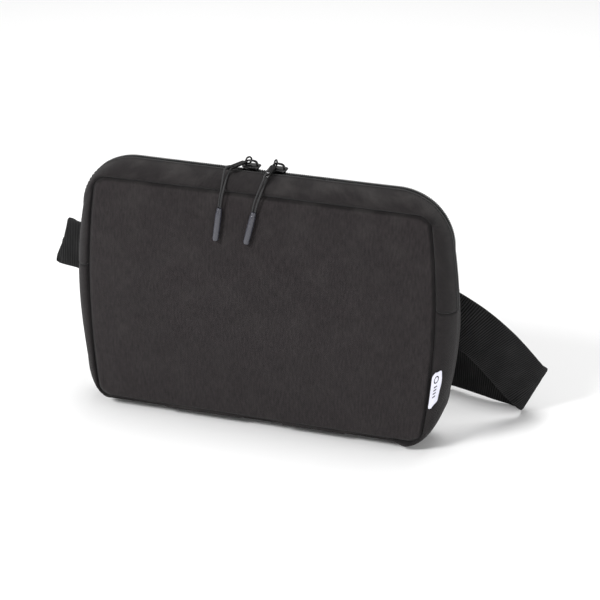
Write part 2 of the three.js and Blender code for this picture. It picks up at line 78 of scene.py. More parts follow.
# ---- Small helpers ----
def mm(x: float, y: float, z: float) -> Vector:
    """A vector given in millimetres, as metres."""
    return Vector((x, y, z)) * MM


def bumps(point: Vector, size: float, seed: int = 0) -> float:
    """Smooth noise from about -1 to 1.

    Args:
        point: where to read it, in metres.
        size: the width of one bump, in metres.
        seed: picks another pattern.

    Returns:
        The noise there.
    """
    return noise.noise(point / size + Vector((7.3, 1.7, 3.1)) * seed)


def running_length(points: Sequence[Vector]) -> list[float]:
    """The distance along a line of points at each of them."""
    total = [0.0]
    for a, b in zip(points, points[1:]):
        total.append(total[-1] + (b - a).length)
    return total


def spaced(start: float, end: float, count: int) -> list[float]:
    """Evenly spaced values from start to end, both included."""
    return [start + (end - start) * k / (count - 1) for k in range(count)]


def smooth_step(value: float, low: float, high: float) -> float:
    """Goes smoothly from 0 at low to 1 at high."""
    t = min(1.0, max(0.0, (value - low) / (high - low)))
    return t * t * (3 - 2 * t)


def new_object(name: str, mesh: bpy.types.Mesh) -> Object:
    """Links a new object that holds the mesh."""
    obj = bpy.data.objects.new(name, mesh)
    bpy.context.scene.collection.objects.link(obj)
    return obj


def mesh_object(
    name: str,
    vertices: Sequence[Sequence[float]],
    faces: Sequence[Sequence[int]],
    corners: Sequence[tuple[float, float]] | None = None,
    smooth: bool = True,
) -> Object:
    """Makes an object from plain lists.

    Args:
        name: the piece's name.
        vertices: the points, in metres.
        faces: vertex numbers of each face, outward by the right-hand rule.
        corners: a surface coordinate for every face corner, in metres.
        smooth: shades the faces smoothly.

    Returns:
        The new object.
    """
    mesh = bpy.data.meshes.new(name)
    mesh.from_pydata([tuple(v) for v in vertices], [], [tuple(f) for f in faces])
    if corners is not None:
        layer = mesh.uv_layers.new(name="UVMap")
        layer.data.foreach_set("uv", np.array(corners, np.float32).ravel())
    mesh.polygons.foreach_set("use_smooth", [smooth] * len(mesh.polygons))
    mesh.update()
    return new_object(name, mesh)


def skin(
    name: str,
    points: Sequence[Sequence[Vector]],
    uv: Sequence[Sequence[tuple[float, float]]],
    close_rows: bool = False,
    close_columns: bool = False,
    caps: bool = False,
    flip: bool = False,
) -> Object:
    """Covers rows and columns of points with quads.

    Args:
        name: the piece's name.
        points: the rows of points.
        uv: a surface coordinate for each point, with one more row or column where that way closes.
        close_rows: joins the last row to the first.
        close_columns: joins the last column to the first.
        caps: closes the first and last row with one face each.
        flip: turns every face over.

    Returns:
        The new object.
    """
    rows, columns = len(points), len(points[0])
    faces, corners = [], []
    for i in range(rows - (not close_rows)):
        for j in range(columns - (not close_columns)):
            ni, nj = (i + 1) % rows, (j + 1) % columns
            face = [i * columns + j, ni * columns + j, ni * columns + nj, i * columns + nj]
            corner = [uv[i][j], uv[i + 1][j], uv[i + 1][j + 1], uv[i][j + 1]]
            if flip:
                face.reverse()
                corner.reverse()
            faces.append(face)
            corners += corner
    if caps:
        for row, forward in ((0, True), (rows - 1, False)):
            order = list(range(columns)) if forward != flip else list(range(columns))[::-1]
            faces.append([row * columns + j for j in order])
            corners += [uv[row][j] for j in order]
    return mesh_object(name, [p for row in points for p in row], faces, corners)


@contextmanager
def opened(mesh: bpy.types.Mesh) -> Iterator[bmesh.types.BMesh]:
    """Opens a mesh for editing, and writes it back afterwards."""
    bm = bmesh.new()
    bm.from_mesh(mesh)
    yield bm
    bm.to_mesh(mesh)
    bm.free()


def mark_points(obj: Object, name: str, values: Sequence[float]) -> None:
    """Gives every point of a mesh a number, under a name."""
    attribute = obj.data.attributes.new(name, "FLOAT", "POINT")
    attribute.data.foreach_set("value", np.array(values, np.float32))


def settle(obj: Object) -> Object:
    """Turns an object's evaluated shape into its plain mesh and takes its modifiers off."""
    graph = bpy.context.evaluated_depsgraph_get()
    mesh = bpy.data.meshes.new_from_object(
        obj.evaluated_get(graph), preserve_all_data_layers=True, depsgraph=graph
    )
    mesh.name = obj.name
    obj.modifiers.clear()
    obj.data = mesh
    return obj


def thicken(obj: Object, thickness: float) -> Object:
    """Gives a sheet its thickness, inwards from the side it shows."""
    modifier = obj.modifiers.new("thickness", "SOLIDIFY")
    modifier.thickness = thickness
    modifier.offset = -1.0
    modifier.use_even_offset = False
    return settle(obj)


def unite(name: str, parts: Sequence[Object]) -> Object:
    """Melts several closed meshes into one closed shell of that name."""
    first, *rest = parts
    for other in rest:
        modifier = first.modifiers.new("melt", "BOOLEAN")
        modifier.operation = "UNION"
        modifier.solver = "EXACT"
        modifier.object = other
    settle(first)
    for other in rest:
        bpy.data.objects.remove(other)
    first.name = name
    first.data.name = name
    return first


def shade_by_angle(obj: Object, degrees: float = 35.0) -> Object:
    """Shades smoothly, apart from edges sharper than an angle."""
    with opened(obj.data) as bm:
        for face in bm.faces:
            face.smooth = True
        for edge in bm.edges:
            edge.smooth = len(edge.link_faces) != 2 or edge.calc_face_angle(0.0) < math.radians(degrees)
    return obj


def lathe(name: str, profile: Sequence[tuple[float, float]], sides: int, place: Matrix | None = None) -> Object:
    """Turns a profile round Z into a closed shape.

    Args:
        name: the piece's name.
        profile: radius and height pairs from the bottom up. The first and last radius are 0.
        sides: how many sides a ring has.
        place: moves the shape to its place.

    Returns:
        The new object.
    """
    rings = profile[1:-1]
    vertices = [Vector((0, 0, profile[0][1])), Vector((0, 0, profile[-1][1]))]
    for radius, height in rings:
        for k in range(sides):
            angle = 2 * math.pi * k / sides
            vertices.append(Vector((radius * math.cos(angle), radius * math.sin(angle), height)))
    faces, corners = [], []
    at = lambda ring, k: 2 + ring * sides + k % sides
    heights = running_length([Vector((r, h, 0)) for r, h in profile])
    around = 2 * math.pi * max(r for r, _ in rings) / sides
    for k in range(sides):
        faces.append((0, at(0, k + 1), at(0, k)))
        corners += [(k * around, 0.0), ((k + 1) * around, heights[1]), (k * around, heights[1])]
        for ring in range(len(rings) - 1):
            faces.append((at(ring, k), at(ring, k + 1), at(ring + 1, k + 1), at(ring + 1, k)))
            low, high = heights[ring + 1], heights[ring + 2]
            here, ahead = k * around, (k + 1) * around
            corners += [(here, low), (ahead, low), (ahead, high), (here, high)]
        top = len(rings) - 1
        faces.append((at(top, k), at(top, k + 1), 1))
        corners += [(k * around, heights[-2]), ((k + 1) * around, heights[-2]), (k * around, heights[-1])]
    if place is not None:
        vertices = [place @ v for v in vertices]
    return mesh_object(name, vertices, faces, corners)


def tube(name: str, points: Sequence[Vector], radius: float, sides: int = 10, closed: bool = False) -> Object:
    """A round tube along a line of points, with its twist kept low.

    Args:
        name: the piece's name.
        points: the middle line, in metres.
        radius: the tube's radius.
        sides: how many sides it has.
        closed: joins its end to its start.

    Returns:
        The new object, with surface coordinates round it and along it.
    """
    count = len(points)
    tangents = []
    for i in range(count):
        before = points[(i - 1) % count] if closed or i else points[i]
        after = points[(i + 1) % count] if closed or i < count - 1 else points[i]
        tangents.append((after - before).normalized())
    normal = tangents[0].orthogonal().normalized()
    rows = []
    for i in range(count):
        if i:
            normal = (tangents[i - 1].rotation_difference(tangents[i]) @ normal).normalized()
        binormal = tangents[i].cross(normal)
        ring = []
        for k in range(sides):
            angle = 2 * math.pi * k / sides
            ring.append(points[i] + (normal * math.cos(angle) + binormal * math.sin(angle)) * radius)
        rows.append(ring)
    lengths = running_length([*points, points[0]] if closed else points)
    uv = [[(2 * math.pi * radius * k / sides, s) for k in range(sides + 1)] for s in lengths]
    return skin(name, rows, uv, close_rows=closed, close_columns=True, caps=not closed, flip=True)


def rounded_box(name: str, low: Vector, high: Vector, radius: float, segments: int = 3) -> Object:
    """A block with rounded edges, given by its corners."""
    mesh = bpy.data.meshes.new(name)
    size, middle = high - low, (high + low) / 2
    with opened(mesh) as bm:
        bmesh.ops.create_cube(bm, size=1.0)
        for vertex in bm.verts:
            vertex.co = Vector(c * s for c, s in zip(vertex.co, size)) + middle
        bmesh.ops.bevel(bm, geom=bm.edges[:], offset=radius, segments=segments, profile=0.5, affect="EDGES")
        bmesh.ops.recalc_face_normals(bm, faces=bm.faces[:])
    return shade_by_angle(new_object(name, mesh), 60)


def softened_copy(node: str, name: str, bevel: float, segments: int = 3) -> Object:
    """A copy of a frame node with its flats merged and its edges rounded."""
    mesh = bpy.data.meshes.new_from_object(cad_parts[node])
    with opened(mesh) as bm:
        bmesh.ops.remove_doubles(bm, verts=bm.verts[:], dist=1e-6)
        bmesh.ops.dissolve_limit(
            bm, angle_limit=math.radians(1), verts=bm.verts[:], edges=bm.edges[:], delimit=set()
        )
    mesh.materials.clear()
    obj = new_object(name, mesh)
    modifier = obj.modifiers.new("round", "BEVEL")
    modifier.width = bevel
    modifier.segments = segments
    modifier.limit_method = "ANGLE"
    modifier.angle_limit = math.radians(40)
    modifier.use_clamp_overlap = True
    return shade_by_angle(settle(obj), 30)


# ---- Node trees ----
def add_node(tree: Tree, kind: str, inputs: dict | None = None, **settings: object) -> Node:
    """Adds a node.

    Args:
        tree: the tree it goes in.
        kind: the node's type.
        inputs: a value or a socket to join for each named or numbered input.
        settings: the node's own properties.

    Returns:
        The new node.
    """
    node = tree.nodes.new(kind)
    for key, value in settings.items():
        setattr(node, key, value)
    for key, value in (inputs or {}).items():
        if isinstance(value, Socket):
            tree.links.new(value, node.inputs[key])
        else:
            node.inputs[key].default_value = value
    return node


def calc(tree: Tree, operation: str, *values: object, clamp: bool = False) -> Socket:
    """A Math node's output for values or sockets."""
    node = add_node(tree, "ShaderNodeMath", dict(enumerate(values)), operation=operation, use_clamp=clamp)
    return node.outputs[0]


def mix_colour(tree: Tree, share: object, a: object, b: object) -> Socket:
    """A colour that goes from a to b with a share from 0 to 1."""
    node = add_node(tree, "ShaderNodeMix", data_type="RGBA")
    for index, value in ((0, share), (6, a), (7, b)):
        if isinstance(value, Socket):
            tree.links.new(value, node.inputs[index])
        elif index == 0:
            node.inputs[index].default_value = value
        else:
            node.inputs[index].default_value = (*value, 1.0)
    return node.outputs[2]


def spread(tree: Tree, value: Socket, low: float, high: float, to_low: float, to_high: float) -> Socket:
    """Maps a value from one range to another, clamped."""
    return add_node(
        tree, "ShaderNodeMapRange", {0: value, 1: low, 2: high, 3: to_low, 4: to_high}, clamp=True
    ).outputs[0]


def waves(tree: Tree, distance: Socket, pitch: float = 1.0) -> Socket:
    """Even humps from 0 to 1, one for each pitch of a distance."""
    phase = calc(tree, "MULTIPLY", distance, math.pi / pitch)
    return calc(tree, "ABSOLUTE", calc(tree, "SINE", phase))


def point_value(tree: Tree, name: str, kind: str = "FLOAT") -> Socket:
    """What each point of a mesh carries under a name."""
    node = add_node(tree, "GeometryNodeInputNamedAttribute", {"Name": name}, data_type=kind)
    return node.outputs["Attribute"]


def lumps_of(tree: Tree, vector: Socket, size: object, detail: float) -> Socket:
    """Noise whose lumps have the given size, in metres."""
    scaled = add_node(tree, "ShaderNodeVectorMath", {0: vector}, operation="SCALE")
    tree.links.new(calc(tree, "DIVIDE", 1.0, size), scaled.inputs["Scale"])
    settings = {"Vector": scaled.outputs[0], "Scale": 1.0, "Detail": detail}
    return add_node(tree, "ShaderNodeTexNoise", settings).outputs[0]


class ShaderGroups:
    """Node groups that several finishes share, each built once."""

    built: dict[str, Tree] = {}

    @classmethod
    def place(cls, tree: Tree, name: str, inputs: dict) -> Node:
        """Puts one of the groups into a material's tree with its own values."""
        if name not in cls.built:
            cls.built[name] = getattr(cls, f"_{name}")()
        return add_node(tree, "ShaderNodeGroup", inputs, node_tree=cls.built[name])

    @staticmethod
    def _begin(name: str, inputs: dict[str, float | None], outputs: Iterable[str]) -> tuple:
        """Makes an empty group with a Vector input, float inputs and float outputs."""
        tree = bpy.data.node_groups.new(name, "ShaderNodeTree")
        tree.interface.new_socket("Vector", in_out="INPUT", socket_type="NodeSocketVector")
        for label, value in inputs.items():
            socket = tree.interface.new_socket(label, in_out="INPUT", socket_type="NodeSocketFloat")
            socket.default_value = value
        for label in outputs:
            tree.interface.new_socket(label, in_out="OUTPUT", socket_type="NodeSocketFloat")
        return tree, tree.nodes.new("NodeGroupInput"), tree.nodes.new("NodeGroupOutput")

    @classmethod
    def _weave(cls) -> Tree:
        """Plain weave: threads that pass over and under each other, with long uneven streaks along the warp."""
        tree, given, out = cls._begin(
            "weave", {"Pitch": 0.0006, "Streak Width": 0.0011}, ("Height", "Thread", "Streak")
        )
        parts = add_node(tree, "ShaderNodeSeparateXYZ", {0: given.outputs["Vector"]})
        u = calc(tree, "DIVIDE", parts.outputs[0], given.outputs["Pitch"])
        v = calc(tree, "DIVIDE", parts.outputs[1], given.outputs["Pitch"])
        column = calc(tree, "FLOOR", u)
        warp = waves(tree, u)
        swing = calc(tree, "ADD", *(calc(tree, "MULTIPLY", part, math.pi) for part in (v, column)))
        over = calc(tree, "MULTIPLY_ADD", calc(tree, "SINE", swing), 0.3, 0.7)
        height = calc(tree, "MULTIPLY", warp, over)
        su = calc(tree, "DIVIDE", parts.outputs[0], given.outputs["Streak Width"])
        along = calc(tree, "DIVIDE", parts.outputs[1], given.outputs["Streak Width"])
        sv = calc(tree, "MULTIPLY", along, 0.22)
        place = add_node(tree, "ShaderNodeCombineXYZ", {0: su, 1: sv})
        settings = {"Vector": place.outputs[0], "Scale": 1.0, "Detail": 2.0, "Roughness": 0.6}
        streak = add_node(tree, "ShaderNodeTexNoise", settings)
        tree.links.new(height, out.inputs["Height"])
        tree.links.new(calc(tree, "MULTIPLY", over, warp), out.inputs["Thread"])
        tree.links.new(spread(tree, streak.outputs[0], 0.3, 0.7, 0.0, 1.0), out.inputs["Streak"])
        return tree

    @classmethod
    def _grain(cls) -> Tree:
        """Fine and broad unevenness of a surface."""
        tree, given, out = cls._begin("grain", {"Fine": 0.0008, "Broad": 0.03}, ("Fine", "Broad"))
        for label, detail in (("Fine", 3.0), ("Broad", 4.0)):
            pattern = lumps_of(tree, given.outputs["Vector"], given.outputs[label], detail)
            tree.links.new(spread(tree, pattern, 0.25, 0.75, 0.0, 1.0), out.inputs[label])
        return tree

    @classmethod
    def _edge_wear(cls) -> Tree:
        """Where edges are rubbed, broken up by noise."""
        tree, given, out = cls._begin("edge_wear", {"Reach": 0.06, "Patch": 0.004}, ("Mask",))
        sharp = add_node(tree, "ShaderNodeNewGeometry").outputs["Pointiness"]
        lifted = calc(tree, "SUBTRACT", sharp, 0.5)
        edge = calc(tree, "DIVIDE", lifted, given.outputs["Reach"], clamp=True)
        patch = lumps_of(tree, given.outputs["Vector"], given.outputs["Patch"], 3.0)
        broken = spread(tree, patch, 0.35, 0.65, 0.0, 1.0)
        tree.links.new(calc(tree, "MULTIPLY", edge, broken), out.inputs["Mask"])
        return tree

    @classmethod
    def _dust(cls) -> Tree:
        """Faint lint that lies on what faces up."""
        tree, given, out = cls._begin("dust", {"Patch": 0.02}, ("Mask",))
        normal = add_node(tree, "ShaderNodeTexCoord").outputs["Normal"]
        up = add_node(tree, "ShaderNodeSeparateXYZ", {0: normal}).outputs[2]
        cloud = lumps_of(tree, given.outputs["Vector"], given.outputs["Patch"], 6.0)
        lint = spread(tree, cloud, 0.45, 0.8, 0.0, 1.0)
        facing = spread(tree, up, -0.1, 0.9, 0.15, 1.0)
        tree.links.new(calc(tree, "MULTIPLY", facing, lint), out.inputs["Mask"])
        return tree


@dataclass(frozen=True)
class Finish:
    """What every finish has: a name, its colours and how rough it is."""

    name: str
    base: Colour
    shade: Colour
    roughness: float = 0.8

    def begin(self, space: Space) -> tuple:
        """Starts a material.

        Args:
            space: where the pattern's coordinates come from.

        Returns:
            The material, its tree, its Principled node and the coordinate socket.
        """
        material = bpy.data.materials.new(self.name)
        material.use_nodes = True
        tree = material.node_tree
        tree.nodes.clear()
        surface = tree.nodes.new("ShaderNodeBsdfPrincipled")
        out = tree.nodes.new("ShaderNodeOutputMaterial")
        tree.links.new(surface.outputs[0], out.inputs[0])
        surface.inputs["Roughness"].default_value = self.roughness
        coordinates = tree.nodes.new("ShaderNodeTexCoord").outputs[space.value]
        return material, tree, surface, coordinates

    def colour(self, tree: Tree, surface: Node, coordinates: Socket, share: Socket) -> None:
        """Joins the base colour, shaded by a share, with a little lint on top."""
        dust = ShaderGroups.place(tree, "dust", {"Vector": coordinates})
        mixed = mix_colour(tree, share, self.shade, self.base)
        lint = calc(tree, "MULTIPLY", dust.outputs["Mask"], LINT_SHARE)
        dusted = mix_colour(tree, lint, mixed, LINT)
        tree.links.new(dusted, surface.inputs["Base Color"])

    def roughen(self, tree: Tree, surface: Node, source: Socket, under: float, over: float) -> None:
        """Varies the roughness with a source, from under the finish's own value to over it."""
        rough = spread(tree, source, 0.0, 1.0, self.roughness - under, self.roughness + over)
        tree.links.new(rough, surface.inputs["Roughness"])

    def relief(self, tree: Tree, surface: Node, height: Socket, depth: float) -> None:
        """Joins a height to the surface's normal, with its depth in metres."""
        bump = add_node(tree, "ShaderNodeBump", {"Strength": 1.0, "Distance": depth, "Height": height})
        tree.links.new(bump.outputs[0], surface.inputs["Normal"])


@dataclass(frozen=True)
class WovenFinish(Finish):
    """Woven polyester, with threads, streaks along the warp and a soft sheen."""

    pitch: float = 0.0007
    streak: float = 0.0013
    streak_share: float = 0.6
    relief_depth: float = 0.00012
    sheen: float = 0.07
    space: Space = Space.SURFACE

    def build(self) -> Material:
        """Makes the material."""
        material, tree, surface, coordinates = self.begin(self.space)
        weave = ShaderGroups.place(
            tree, "weave", {"Vector": coordinates, "Pitch": self.pitch, "Streak Width": self.streak}
        )
        grain = ShaderGroups.place(tree, "grain", {"Vector": coordinates, "Fine": 0.0009, "Broad": 0.05})
        wear = ShaderGroups.place(tree, "edge_wear", {"Vector": coordinates, "Reach": 0.12})
        thread = calc(tree, "MULTIPLY", weave.outputs["Thread"], 0.9 - self.streak_share)
        streak = calc(tree, "MULTIPLY_ADD", weave.outputs["Streak"], self.streak_share, thread)
        share = calc(tree, "MULTIPLY_ADD", grain.outputs["Broad"], 0.08, streak, clamp=True)
        worn = calc(tree, "MULTIPLY_ADD", wear.outputs["Mask"], 0.3, share, clamp=True)
        # Painted shade: a per-point mask darkens the cloth in the seam grooves, the corner crease, the sunk
        # joins, along the zip slot's edge and on faces turned inside.
        seam = add_node(tree, "ShaderNodeAttribute", attribute_name="seam_shade").outputs["Fac"]
        sunk = calc(tree, "MULTIPLY_ADD", seam, -1.6, worn)
        self.colour(tree, surface, coordinates, sunk)
        self.roughen(tree, surface, grain.outputs["Fine"], 0.08, 0.06)
        surface.inputs["Sheen Weight"].default_value = self.sheen
        surface.inputs["Sheen Roughness"].default_value = 0.5
        surface.inputs["Specular IOR Level"].default_value = 0.25
        lumps = calc(tree, "MULTIPLY_ADD", grain.outputs["Fine"], 0.4, weave.outputs["Height"])
        self.relief(tree, surface, lumps, self.relief_depth)
        return material


@dataclass(frozen=True)
class RibbedFinish(Finish):
    """Woven webbing or elastic: cross ribs, crossed by fine ends that run along it, with painted shade in the
    valleys between the raised ribs.
    """

    rib: float = 0.0017
    end: float = 0.0006

    def build(self) -> Material:
        """Makes the material."""
        material, tree, surface, coordinates = self.begin(Space.SURFACE)
        far = add_node(tree, "ShaderNodeAttribute", attribute_name="distance").outputs["Fac"]
        across = add_node(tree, "ShaderNodeSeparateXYZ", {0: coordinates}).outputs[0]
        rib = waves(tree, far, self.rib)
        ends = waves(tree, across, self.end)
        grain = ShaderGroups.place(tree, "grain", {"Vector": coordinates, "Fine": 0.0007, "Broad": 0.02})
        crossed = calc(tree, "MULTIPLY_ADD", ends, 0.35, 0.65)
        # Painted shade: the colour falls towards the near-black shade colour between the ribs, in step with the
        # raised ribs, on top of the weave's own pattern.
        woven = calc(tree, "MULTIPLY", calc(tree, "POWER", rib, 1.6), crossed)
        patchy = calc(tree, "MULTIPLY_ADD", grain.outputs["Broad"], 0.6, 0.5)
        self.colour(tree, surface, coordinates, calc(tree, "MULTIPLY", woven, patchy, clamp=True))
        self.roughen(tree, surface, grain.outputs["Fine"], 0.08, 0.08)
        surface.inputs["Specular IOR Level"].default_value = 0.15
        self.relief(tree, surface, woven, 0.00025)
        return material


@dataclass(frozen=True)
class MouldedFinish(Finish):
    """Moulded plastic or rubber with a fine grain and rubbed edges."""

    grain_size: float = 0.0005
    relief_depth: float = 0.00003
    coat: float = 0.0

    def build(self) -> Material:
        """Makes the material."""
        material, tree, surface, coordinates = self.begin(Space.SOLID)
        sizes = {"Vector": coordinates, "Fine": self.grain_size, "Broad": 0.012}
        grain = ShaderGroups.place(tree, "grain", sizes)
        wear = ShaderGroups.place(tree, "edge_wear", {"Vector": coordinates, "Reach": 0.1, "Patch": 0.002})
        share = calc(tree, "MULTIPLY_ADD", grain.outputs["Broad"], 0.45, 0.4)
        worn = calc(tree, "MULTIPLY_ADD", wear.outputs["Mask"], 0.35, share, clamp=True)
        self.colour(tree, surface, coordinates, worn)
        self.roughen(tree, surface, grain.outputs["Broad"], 0.06, 0.06)
        surface.inputs["Coat Weight"].default_value = self.coat
        surface.inputs["Coat Roughness"].default_value = 0.35
        self.relief(tree, surface, grain.outputs["Fine"], self.relief_depth)
        return material


@dataclass(frozen=True)
class MetalFinish(Finish):
    """Dark plated metal whose plating is rubbed thin along its edges."""

    bare: Colour = (0.16, 0.155, 0.15)

    def build(self) -> Material:
        """Makes the material."""
        material, tree, surface, coordinates = self.begin(Space.SOLID)
        grain = ShaderGroups.place(tree, "grain", {"Vector": coordinates, "Fine": 0.0004, "Broad": 0.006})
        wear = ShaderGroups.place(tree, "edge_wear", {"Vector": coordinates, "Reach": 0.3, "Patch": 0.0012})
        plated = mix_colour(tree, grain.outputs["Broad"], self.shade, self.base)
        rubbed = mix_colour(tree, wear.outputs["Mask"], plated, self.bare)
        tree.links.new(rubbed, surface.inputs["Base Color"])
        surface.inputs["Metallic"].default_value = 1.0
        self.roughen(tree, surface, grain.outputs["Fine"], 0.08, 0.1)
        self.relief(tree, surface, grain.outputs["Fine"], 0.00001)
        return material


@dataclass(frozen=True)
class BraidFinish(Finish):
    """Braided or twisted yarn, with strands that run both ways round the piece."""

    strand: float = 0.0009
    turn: float = 0.9

    def build(self) -> Material:
        """Makes the material."""
        material, tree, surface, coordinates = self.begin(Space.SURFACE)
        parts = add_node(tree, "ShaderNodeSeparateXYZ", {0: coordinates})
        waves = []
        for sign in (1.0, -1.0):
            slant = calc(tree, "MULTIPLY_ADD", parts.outputs[0], sign * self.turn, parts.outputs[1])
            phase = calc(tree, "MULTIPLY", slant, 2 * math.pi / self.strand)
            waves.append(calc(tree, "SINE", phase))
        crossed = calc(tree, "MULTIPLY", waves[0], waves[1])
        height = calc(tree, "MULTIPLY_ADD", crossed, 0.5, 0.5)
        self.colour(tree, surface, coordinates, height)
        self.roughen(tree, surface, height, -0.08, -0.05)
        self.relief(tree, surface, height, 0.00015)
        return material


@dataclass(frozen=True)
class LabelFinish(Finish):
    """A woven label with a plain ring and four bars, drawn in the thread's own colour."""

    ink: Colour = (0.02, 0.02, 0.03)
    ring_at: tuple[float, float] = (0.0052, 0.0196)
    ring_radius: float = 0.0021
    bars: tuple[float, ...] = (0.0146, 0.0122, 0.0098, 0.0074)
    bar_half: tuple[float, float] = (0.0016, 0.0005)

    def _box(self, tree: Tree, u: Socket, v: Socket, middle: float) -> Socket:
        """A bar's mask round the label's middle line at a height."""
        across = calc(tree, "ABSOLUTE", calc(tree, "SUBTRACT", u, self.ring_at[0]))
        along = calc(tree, "ABSOLUTE", calc(tree, "SUBTRACT", v, middle))
        wide = calc(tree, "LESS_THAN", across, self.bar_half[0])
        return calc(tree, "MULTIPLY", wide, calc(tree, "LESS_THAN", along, self.bar_half[1]))

    def build(self) -> Material:
        """Makes the material."""
        material, tree, surface, coordinates = self.begin(Space.SURFACE)
        weave = ShaderGroups.place(tree, "weave", {"Vector": coordinates, "Pitch": 0.0004})
        parts = add_node(tree, "ShaderNodeSeparateXYZ", {0: coordinates})
        u, v = parts.outputs[0], parts.outputs[1]
        du = calc(tree, "SUBTRACT", u, self.ring_at[0])
        dv = calc(tree, "SUBTRACT", v, self.ring_at[1])
        squares = calc(tree, "ADD", *(calc(tree, "MULTIPLY", d, d) for d in (du, dv)))
        off = calc(tree, "SUBTRACT", calc(tree, "SQRT", squares), self.ring_radius)
        ink = calc(tree, "LESS_THAN", calc(tree, "ABSOLUTE", off), 0.00042)
        for middle in self.bars:
            ink = calc(tree, "MAXIMUM", ink, self._box(tree, u, v, middle))
        threads = mix_colour(tree, weave.outputs["Thread"], self.shade, self.base)
        tree.links.new(mix_colour(tree, ink, threads, self.ink), surface.inputs["Base Color"])
        self.relief(tree, surface, weave.outputs["Height"], 0.00008)
        return material


class Finishes:
    """Every finish of the bag by name, each material made once."""

    chosen: dict[str, Finish] = {
        "shell": WovenFinish("shell_fabric", (0.0222, 0.0176, 0.0186), (0.0058, 0.0044, 0.0048), 0.88),
        # The gusset's cloth is the shell's cloth made darker, so the top, sides and bottom show less light than
        # the lamps give them: painted shade.
        "gusset": WovenFinish("gusset_fabric", (0.0146, 0.0116, 0.0122), (0.0040, 0.0031, 0.0034), 0.88),
        "lining": WovenFinish(
            "lining_fabric", (0.06, 0.06, 0.062), (0.035, 0.035, 0.037), 0.7, space=Space.SOLID
        ),
        "tape": WovenFinish(
            "zip_tape", (0.008, 0.008, 0.0085), (0.004, 0.004, 0.0042), 0.85, pitch=0.0005, sheen=0.0
        ),
        "coil": MouldedFinish("zip_coil", (0.012, 0.012, 0.0125), (0.005, 0.005, 0.0055), 0.4),
        "metal": MetalFinish("slider_metal", (0.03, 0.03, 0.031), (0.012, 0.012, 0.0125), 0.26),
        "cord": BraidFinish("pull_cord", (0.03, 0.03, 0.031), (0.008, 0.008, 0.009), 0.75),
        "tip": MouldedFinish("cord_tip", (0.032, 0.032, 0.044), (0.018, 0.018, 0.028), 0.28, coat=0.6),
        "label": LabelFinish("label_weave", (0.85, 0.85, 0.93), (0.6, 0.6, 0.7), 0.85),
        # The webbing's near-black shade colour is the painted shade in the valleys between its ribs.
        "webbing": RibbedFinish("belt_webbing", (0.0285, 0.0285, 0.029), (0.0006, 0.0006, 0.0007), 0.75),
        "plastic": MouldedFinish("buckle_plastic", (0.016, 0.016, 0.0165), (0.009, 0.009, 0.0095), 0.45),
        "elastic": RibbedFinish(
            "keeper_elastic", (0.025, 0.025, 0.026), (0.006, 0.006, 0.0065), 0.8, rib=0.0016
        ),
        "thread": BraidFinish("sewing_thread", (0.02, 0.019, 0.02), (0.006, 0.006, 0.006), 0.75, strand=0.0004),
    }
    made: dict[str, Material] = {}

    @classmethod
    def get(cls, name: str) -> Material:
        """The material of that name."""
        if name not in cls.made:
            cls.made[name] = cls.chosen[name].build()
        return cls.made[name]

    @classmethod
    def dress(cls, obj: Object, name: str) -> Object:
        """Gives an object one finish all over."""
        obj.data.materials.clear()
        obj.data.materials.append(cls.get(name))
        return obj


def place_piece(
    obj: Object, finish: str, body: str = "bag", stands_for: Sequence[str] = ()
) -> Object:
    """Dresses a finished piece and ties it to its body.

    Args:
        obj: the piece, in its place.
        finish: the finish's name.
        body: the body it moves with.
        stands_for: the frame nodes it replaces.

    Returns:
        The piece.
    """
    Finishes.dress(obj, finish)
    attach(obj, body)
    if stands_for:
        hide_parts(*stands_for)
    LOG.info("%s rides on %s, %d faces", obj.name, body, len(obj.data.polygons))
    return obj


# ---- Rows and ribs by Geometry Nodes ----
class GrowingTree:
    """A Geometry Nodes tree with named inputs, built once and run on one object at a time."""

    name = ""
    sockets: dict[str, str] = {}
    built: dict[str, Tree] = {}

    @classmethod
    def fill(cls, tree: Tree, given: Node) -> Socket:
        """Adds the tree's own nodes and returns the geometry they end in."""
        raise NotImplementedError

    @classmethod
    def tree(cls) -> Tree:
        """The tree, made on first use."""
        if cls.name not in cls.built:
            tree = bpy.data.node_groups.new(cls.name, "GeometryNodeTree")
            tree.interface.new_socket("Path", in_out="INPUT", socket_type="NodeSocketGeometry")
            for label, kind in cls.sockets.items():
                tree.interface.new_socket(label, in_out="INPUT", socket_type=kind)
            tree.interface.new_socket("Finish", in_out="INPUT", socket_type="NodeSocketMaterial")
            tree.interface.new_socket("Pieces", in_out="OUTPUT", socket_type="NodeSocketGeometry")
            given, out = tree.nodes.new("NodeGroupInput"), tree.nodes.new("NodeGroupOutput")
            grown = cls.fill(tree, given)
            real = add_node(tree, "GeometryNodeRealizeInstances", {0: grown})
            inputs = {"Geometry": real.outputs[0], "Material": given.outputs["Finish"]}
            dressed = add_node(tree, "GeometryNodeSetMaterial", inputs)
            tree.links.new(dressed.outputs[0], out.inputs[0])
            cls.built[cls.name] = tree
        return cls.built[cls.name]

    @classmethod
    def run(cls, obj: Object, finish: str, **values: object) -> Object:
        """Grows the pieces on an object and leaves them as its plain mesh.

        Args:
            obj: the path or sheet.
            finish: the finish's name.
            values: an input's value by its name, with underscores for spaces.

        Returns:
            The same object.
        """
        tree = cls.tree()
        modifier = obj.modifiers.new(cls.name, "NODES")
        modifier.node_group = tree
        wanted = {label.replace("_", " "): value for label, value in values.items()}
        wanted["Finish"] = Finishes.get(finish)
        for item in tree.interface.items_tree:
            if item.item_type == "SOCKET" and item.in_out == "INPUT" and item.name in wanted:
                modifier[item.identifier] = wanted[item.name]
        return settle(obj)


